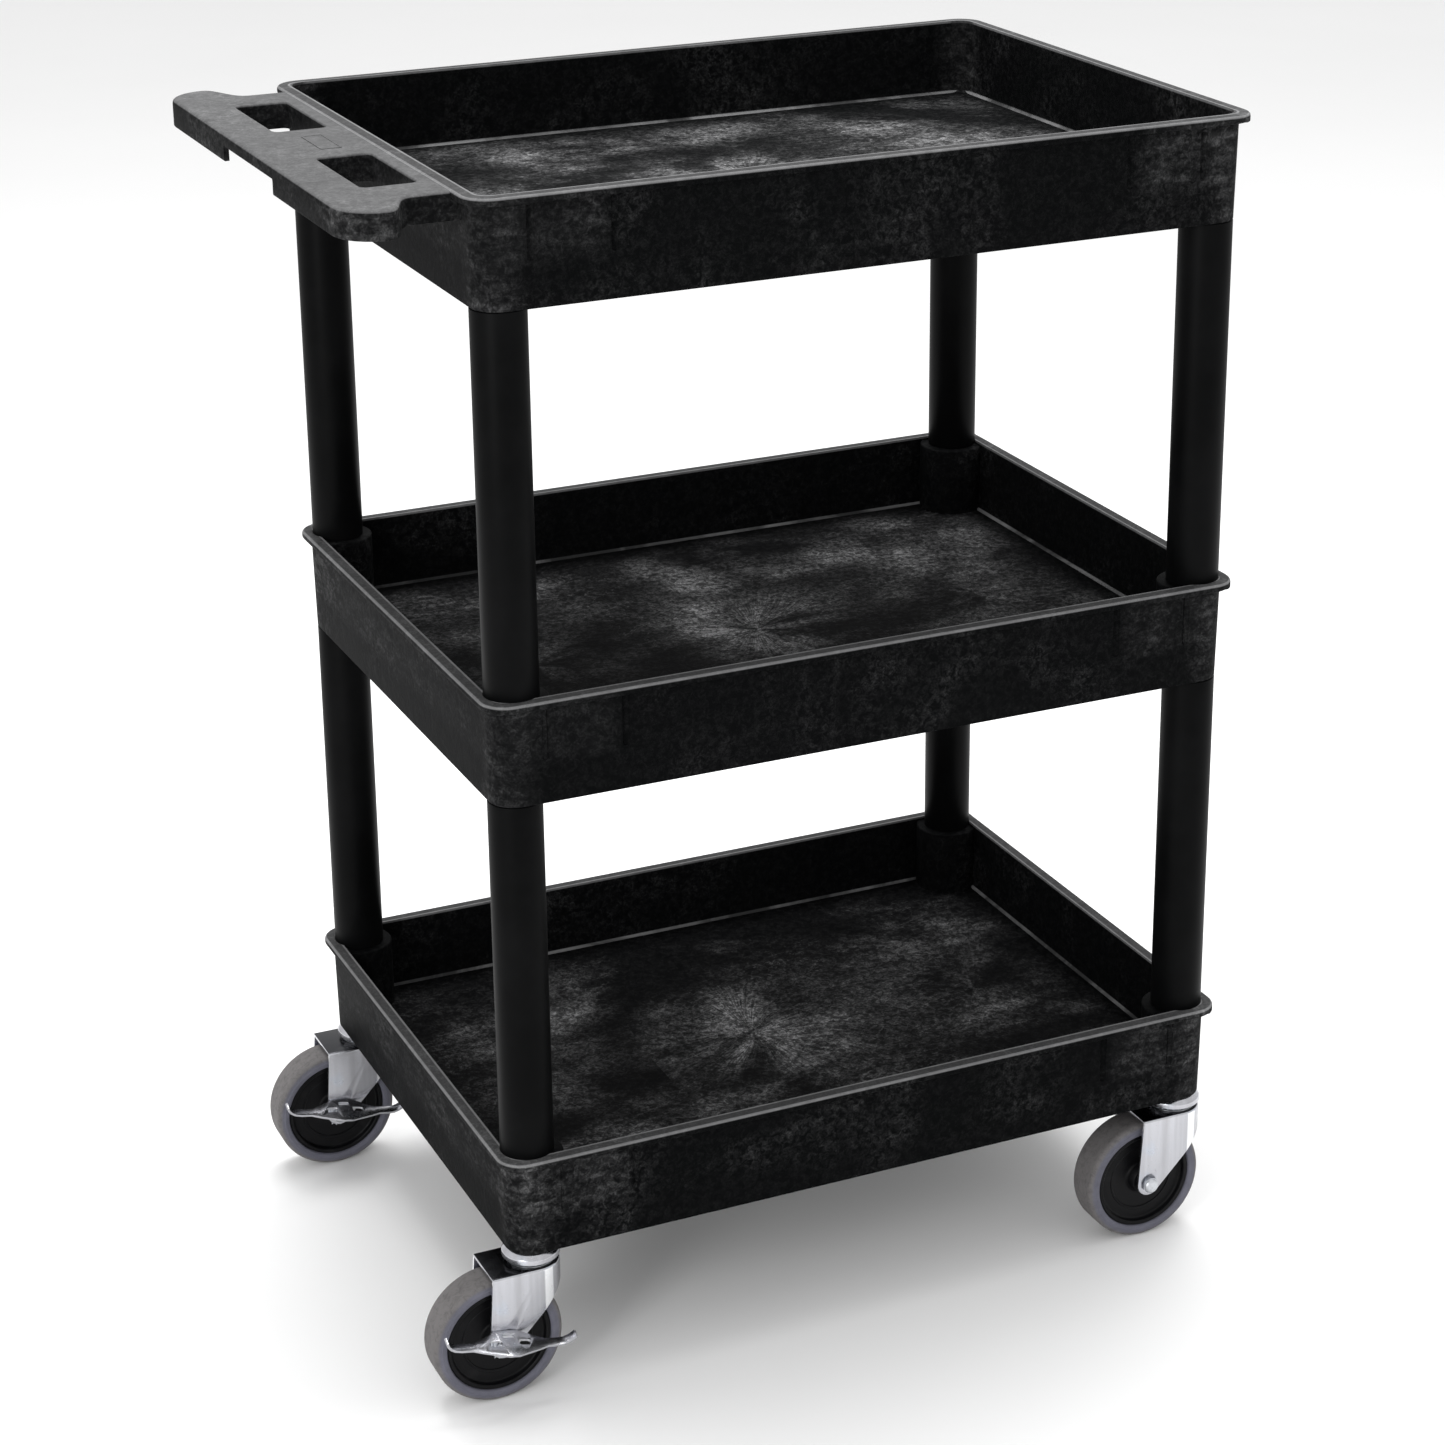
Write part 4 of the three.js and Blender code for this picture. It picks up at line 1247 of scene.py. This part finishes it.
def pedal():
    """Wing pedal pressed from sheet: an eye on the axle, a neck and a bent, slotted diamond tread."""
    sheet = PEDAL_SHEET
    inner = -CHEEK - GAP
    strip = drawn_sideways(tread_line(sheet), inner - 30 * MM, inner)
    right = [(9, 0), (28, -8.6), (54, -9), (54, -15.6), (30, -15.8), (3.5, -24.6)]
    outline = right + [(-x, y) for x, y in reversed(right)]
    plan = raised([Vector((x * MM, inner + y * MM)) for x, y in outline], 0, 30 * MM)
    kept_inside(strip, plan)
    slots = [rounded_block(
        (side * 11.4 * MM - 4.8 * MM, inner - 14.2 * MM, 5 * MM),
        (side * 11.4 * MM + 4.8 * MM, inner - 8.9 * MM, 20 * MM), 2 * MM, 5) for side in (-1, 1)]
    slots.append(rounded_block(
        (-4.6 * MM, inner - 7 * MM, 5 * MM), (4.6 * MM, inner - 3.2 * MM, 20 * MM), 1.5 * MM, 5))
    cut(strip, *slots)
    slope_down(strip, inner, 12 * MM)
    eye = rod((0, 0, 0), 8.8 * MM, inner - sheet, inner, "Y", 56)
    neck = block((-9 * MM, inner - sheet, 2 * MM), (9 * MM, inner, 12.4 * MM))
    joined(eye, neck, strip)
    cut(eye, rod((0, 0, 0), BOLT_HOLE, inner - 4 * MM, inner + 2 * MM, "Y", 40))
    cut(eye, rod((0, 0, 0), 7.4 * MM, inner - 12 * MM, inner - sheet - 0.01 * MM, "Y", 40))
    use_modifier(
        eye, "BEVEL", width=0.3 * MM, segments=2, limit_method="ANGLE",
        angle_limit=math.radians(40), use_clamp_overlap=True)
    return tilted_to_axle(eye)


def brake_cam():
    """Toothed cam inside the outer cheek, just clear of the wheel boss."""
    outer = -CHEEK + SHEET + GAP
    disc = lathe([
        (6.3 * MM, outer), (9.2 * MM, outer), (9.5 * MM, outer + 0.3 * MM), (9.5 * MM, outer + 2.1 * MM),
        (9.2 * MM, outer + 2.4 * MM), (6.3 * MM, outer + 2.4 * MM), (6.3 * MM, outer)], (0, 0, 0), "Y", 48)
    for turn in (-18, 0, 18):
        angle = math.radians(-90 + turn)
        tip = Vector((math.cos(angle), math.sin(angle))) * 12.6 * MM
        side = Vector((-tip.y, tip.x)).normalized() * 1.8 * MM
        foot = tip * 0.64
        tooth = drawn_sideways([tip, foot + side, foot - side], outer + 0.2 * MM, outer + 2.2 * MM)
        joined(disc, tooth)
    return tilted_to_axle(disc)


def tilted_to_axle(piece):
    """Turns a released brake piece to its resting tilt and moves it to the axle."""
    with Modelling(piece) as edit:
        edit.all()
        bpy.ops.transform.rotate(
            value=-PEDAL_TILT, orient_axis="Y", center_override=(0, 0, 0), orient_type="GLOBAL")
        bpy.ops.transform.translate(value=(LOCAL_AXLE.x, 0, LOCAL_AXLE.z))
    return piece


def made_once(make, *settings):
    """The material that a function makes, kept for the next operator that asks for it."""
    key = (make.__name__, settings[-1:])
    if key not in MADE:
        MADE[key] = make(*settings).name
    return bpy.data.materials[MADE[key]]


def zinc_by_corner(context):
    return lambda name: made_once(zinc_plate, context.scene.cart_casters, name)


class CART_OT_swivels(bpy.types.Operator):
    """Model the stems, the race cups and the rings of balls that the casters swivel on"""
    bl_idname = "cart.swivels"
    bl_label = "Caster swivels"
    bl_options = {"REGISTER", "UNDO"}

    def execute(self, context):
        steel = made_once(bolt_steel)
        zinc = zinc_by_corner(context)
        under_each_corner(stem(), "stem_rivet", steel, "frame", "caster_stem")
        under_each_corner(race_cup(), "upper_race", zinc, "frame", "race_cup", angle=50)
        under_each_corner(ball_ring(), "ball_ring", steel, "caster", "ball_race")
        nylon = black_nylon()
        for name in CORNERS:
            socket = frame["nodes"][f"stem_socket_{name}"]
            for slot in socket.material_slots:
                slot.material = nylon
        return {"FINISHED"}


class CART_OT_forks(bpy.types.Operator):
    """Press the four caster forks and fit their axles, nuts and sleeves"""
    bl_idname = "cart.forks"
    bl_label = "Forks and axles"
    bl_options = {"REGISTER", "UNDO"}

    def execute(self, context):
        zinc = zinc_by_corner(context)
        steel = made_once(bolt_steel)
        under_each_corner(fork(), "pressed_fork", zinc, "caster", "fork")
        under_each_corner(axle_bolt(), "axle_rivet", steel, "caster", "axle_bolt")
        under_each_corner(axle_nut(), "lock_nut", steel, "caster", "axle_nut", angle=25)
        under_each_corner(sleeve(), "spacer_tube", steel, "caster", "axle_sleeve")
        return {"FINISHED"}


class CART_OT_wheels(bpy.types.Operator):
    """Turn the four moulded hubs and their rubber tyres"""
    bl_idname = "cart.wheels"
    bl_label = "Wheels"
    bl_options = {"REGISTER", "UNDO"}

    def execute(self, context):
        casters = context.scene.cart_casters
        under_each_corner(hub(), "wheel_core", hub_plastic, "wheel", "wheel_hub", angle=32)
        under_each_corner(
            tyre(), "rubber_tyre", lambda name: grey_rubber(casters, name), "wheel", "tyre")
        return {"FINISHED"}


class CART_OT_brakes(bpy.types.Operator):
    """Press the two wing pedals and their cams for the wheels at the handle end"""
    bl_idname = "cart.brakes"
    bl_label = "Brake pedals"
    bl_options = {"REGISTER", "UNDO"}

    def execute(self, context):
        zinc = zinc_by_corner(context)
        steel = made_once(bolt_steel)
        under_each_corner(
            pedal(), "wing_pedal", zinc, "brake", "brake_pedal", BRAKED, angle=30)
        under_each_corner(
            brake_cam(), "toothed_cam", steel, "brake", "brake_cam", BRAKED, angle=30)
        return {"FINISHED"}


# ---- stage --------------------------------------------------------------------------------

def softbox(name, place, aim, size, strength):
    light = bpy.data.lights.new(name, "AREA")
    light.shape = "RECTANGLE"
    light.size, light.size_y = size
    light.energy = strength
    lamp = bpy.data.objects.new(name, light)
    lamp.location = place
    lamp.rotation_euler = (Vector(aim) - Vector(place)).to_track_quat("-Z", "Y").to_euler()
    bpy.context.scene.collection.objects.link(lamp)
    return lamp


def floor_finish():
    """Plain pale floor with the faintest unevenness."""
    shader = Shader("studio_floor")
    haze = shader.noise(1.3, 3.0)
    shader.set(
        Base_Color=shader.blend((0.86, 0.86, 0.86), (0.9, 0.9, 0.9), haze),
        Roughness=0.75,
    )
    return shader.material


CAMERA_PLACE = (-0.981, -2.2309, 1.4196)
CAMERA_ANGLES = (19.68, 23.97, -0.66)        # pitch, yaw and roll in degrees
CAMERA_SHIFT = -0.1
AIM = (0.05, 0, 0.45)


class CART_OT_stage(bpy.types.Operator):
    """Lay a pale floor, hang soft lights over it and set up the camera"""
    bl_idname = "cart.stage"
    bl_label = "Stage, lights and camera"
    bl_options = {"REGISTER", "UNDO"}

    def execute(self, context):
        stage = context.scene.cart_stage
        scene = context.scene
        deselect_all()
        bpy.ops.mesh.primitive_plane_add(size=60, location=(0, 0, 0))
        floor = context.object
        floor.name = "studio_floor"
        floor.data.materials.append(floor_finish())
        world = bpy.data.worlds.new("studio")
        scene.world = world
        world.use_nodes = True
        world.node_tree.nodes["Background"].inputs["Color"].default_value = (1, 1, 1, 1)
        world.node_tree.nodes["Background"].inputs["Strength"].default_value = stage.world_strength
        softbox("overhead", (0.3, 0.6, 3.2), AIM, (2.6, 2.0), stage.key_strength)
        softbox("left_bank", (-1.9, -1.5, 1.1), (-0.23, -0.2, 0.6), (0.5, 1.2), stage.key_strength * 0.16)
        camera = bpy.data.objects.new("camera", bpy.data.cameras.new("camera"))
        camera.data.sensor_width = 36
        camera.data.lens = stage.focal_length
        camera.data.shift_y = CAMERA_SHIFT
        pitch, yaw, roll = (math.radians(angle) for angle in CAMERA_ANGLES)
        look = (Matrix.Rotation(-yaw, 4, "Z") @ Matrix.Rotation(math.pi / 2 - pitch, 4, "X")
                @ Matrix.Rotation(roll, 4, "Z"))
        camera.matrix_world = Matrix.Translation(CAMERA_PLACE) @ look
        scene.collection.objects.link(camera)
        scene.camera = camera
        scene.view_settings.view_transform = "Standard"
        return {"FINISHED"}


class CART_PT_cart(bpy.types.Panel):
    """Buttons that build the cart and its stage"""
    bl_idname = "CART_PT_cart"
    bl_label = "Utility cart"
    bl_space_type = "VIEW_3D"
    bl_region_type = "UI"
    bl_category = "Cart"

    def draw(self, context):
        column = self.layout.column(align=True)
        for operator in OPERATORS:
            column.operator(operator.bl_idname)
        for settings in ("cart_shelves", "cart_handle", "cart_casters", "cart_stage"):
            group = getattr(context.scene, settings)
            for key in group.bl_rna.properties.keys():
                if key not in ("rna_type", "name"):
                    self.layout.prop(group, key)


OPERATORS = (
    CART_OT_stage, CART_OT_shelves, CART_OT_legs, CART_OT_swivels, CART_OT_forks, CART_OT_wheels,
    CART_OT_brakes)
GROUPS = {
    "cart_shelves": ShelfSettings,
    "cart_handle": HandleSettings,
    "cart_casters": CasterSettings,
    "cart_stage": StageSettings,
}


def register():
    for group in GROUPS.values():
        bpy.utils.register_class(group)
    for key, group in GROUPS.items():
        setattr(bpy.types.Scene, key, PointerProperty(type=group))
    for operator in OPERATORS:
        bpy.utils.register_class(operator)
    bpy.utils.register_class(CART_PT_cart)


def unregister():
    bpy.utils.unregister_class(CART_PT_cart)
    for operator in reversed(OPERATORS):
        bpy.utils.unregister_class(operator)
    for key in GROUPS:
        delattr(bpy.types.Scene, key)
    for group in reversed(tuple(GROUPS.values())):
        bpy.utils.unregister_class(group)


def main():
    register()
    for operator in OPERATORS:
        area, action = operator.bl_idname.split(".")
        getattr(getattr(bpy.ops, area), action)()


if __name__ == "__main__":
    main()
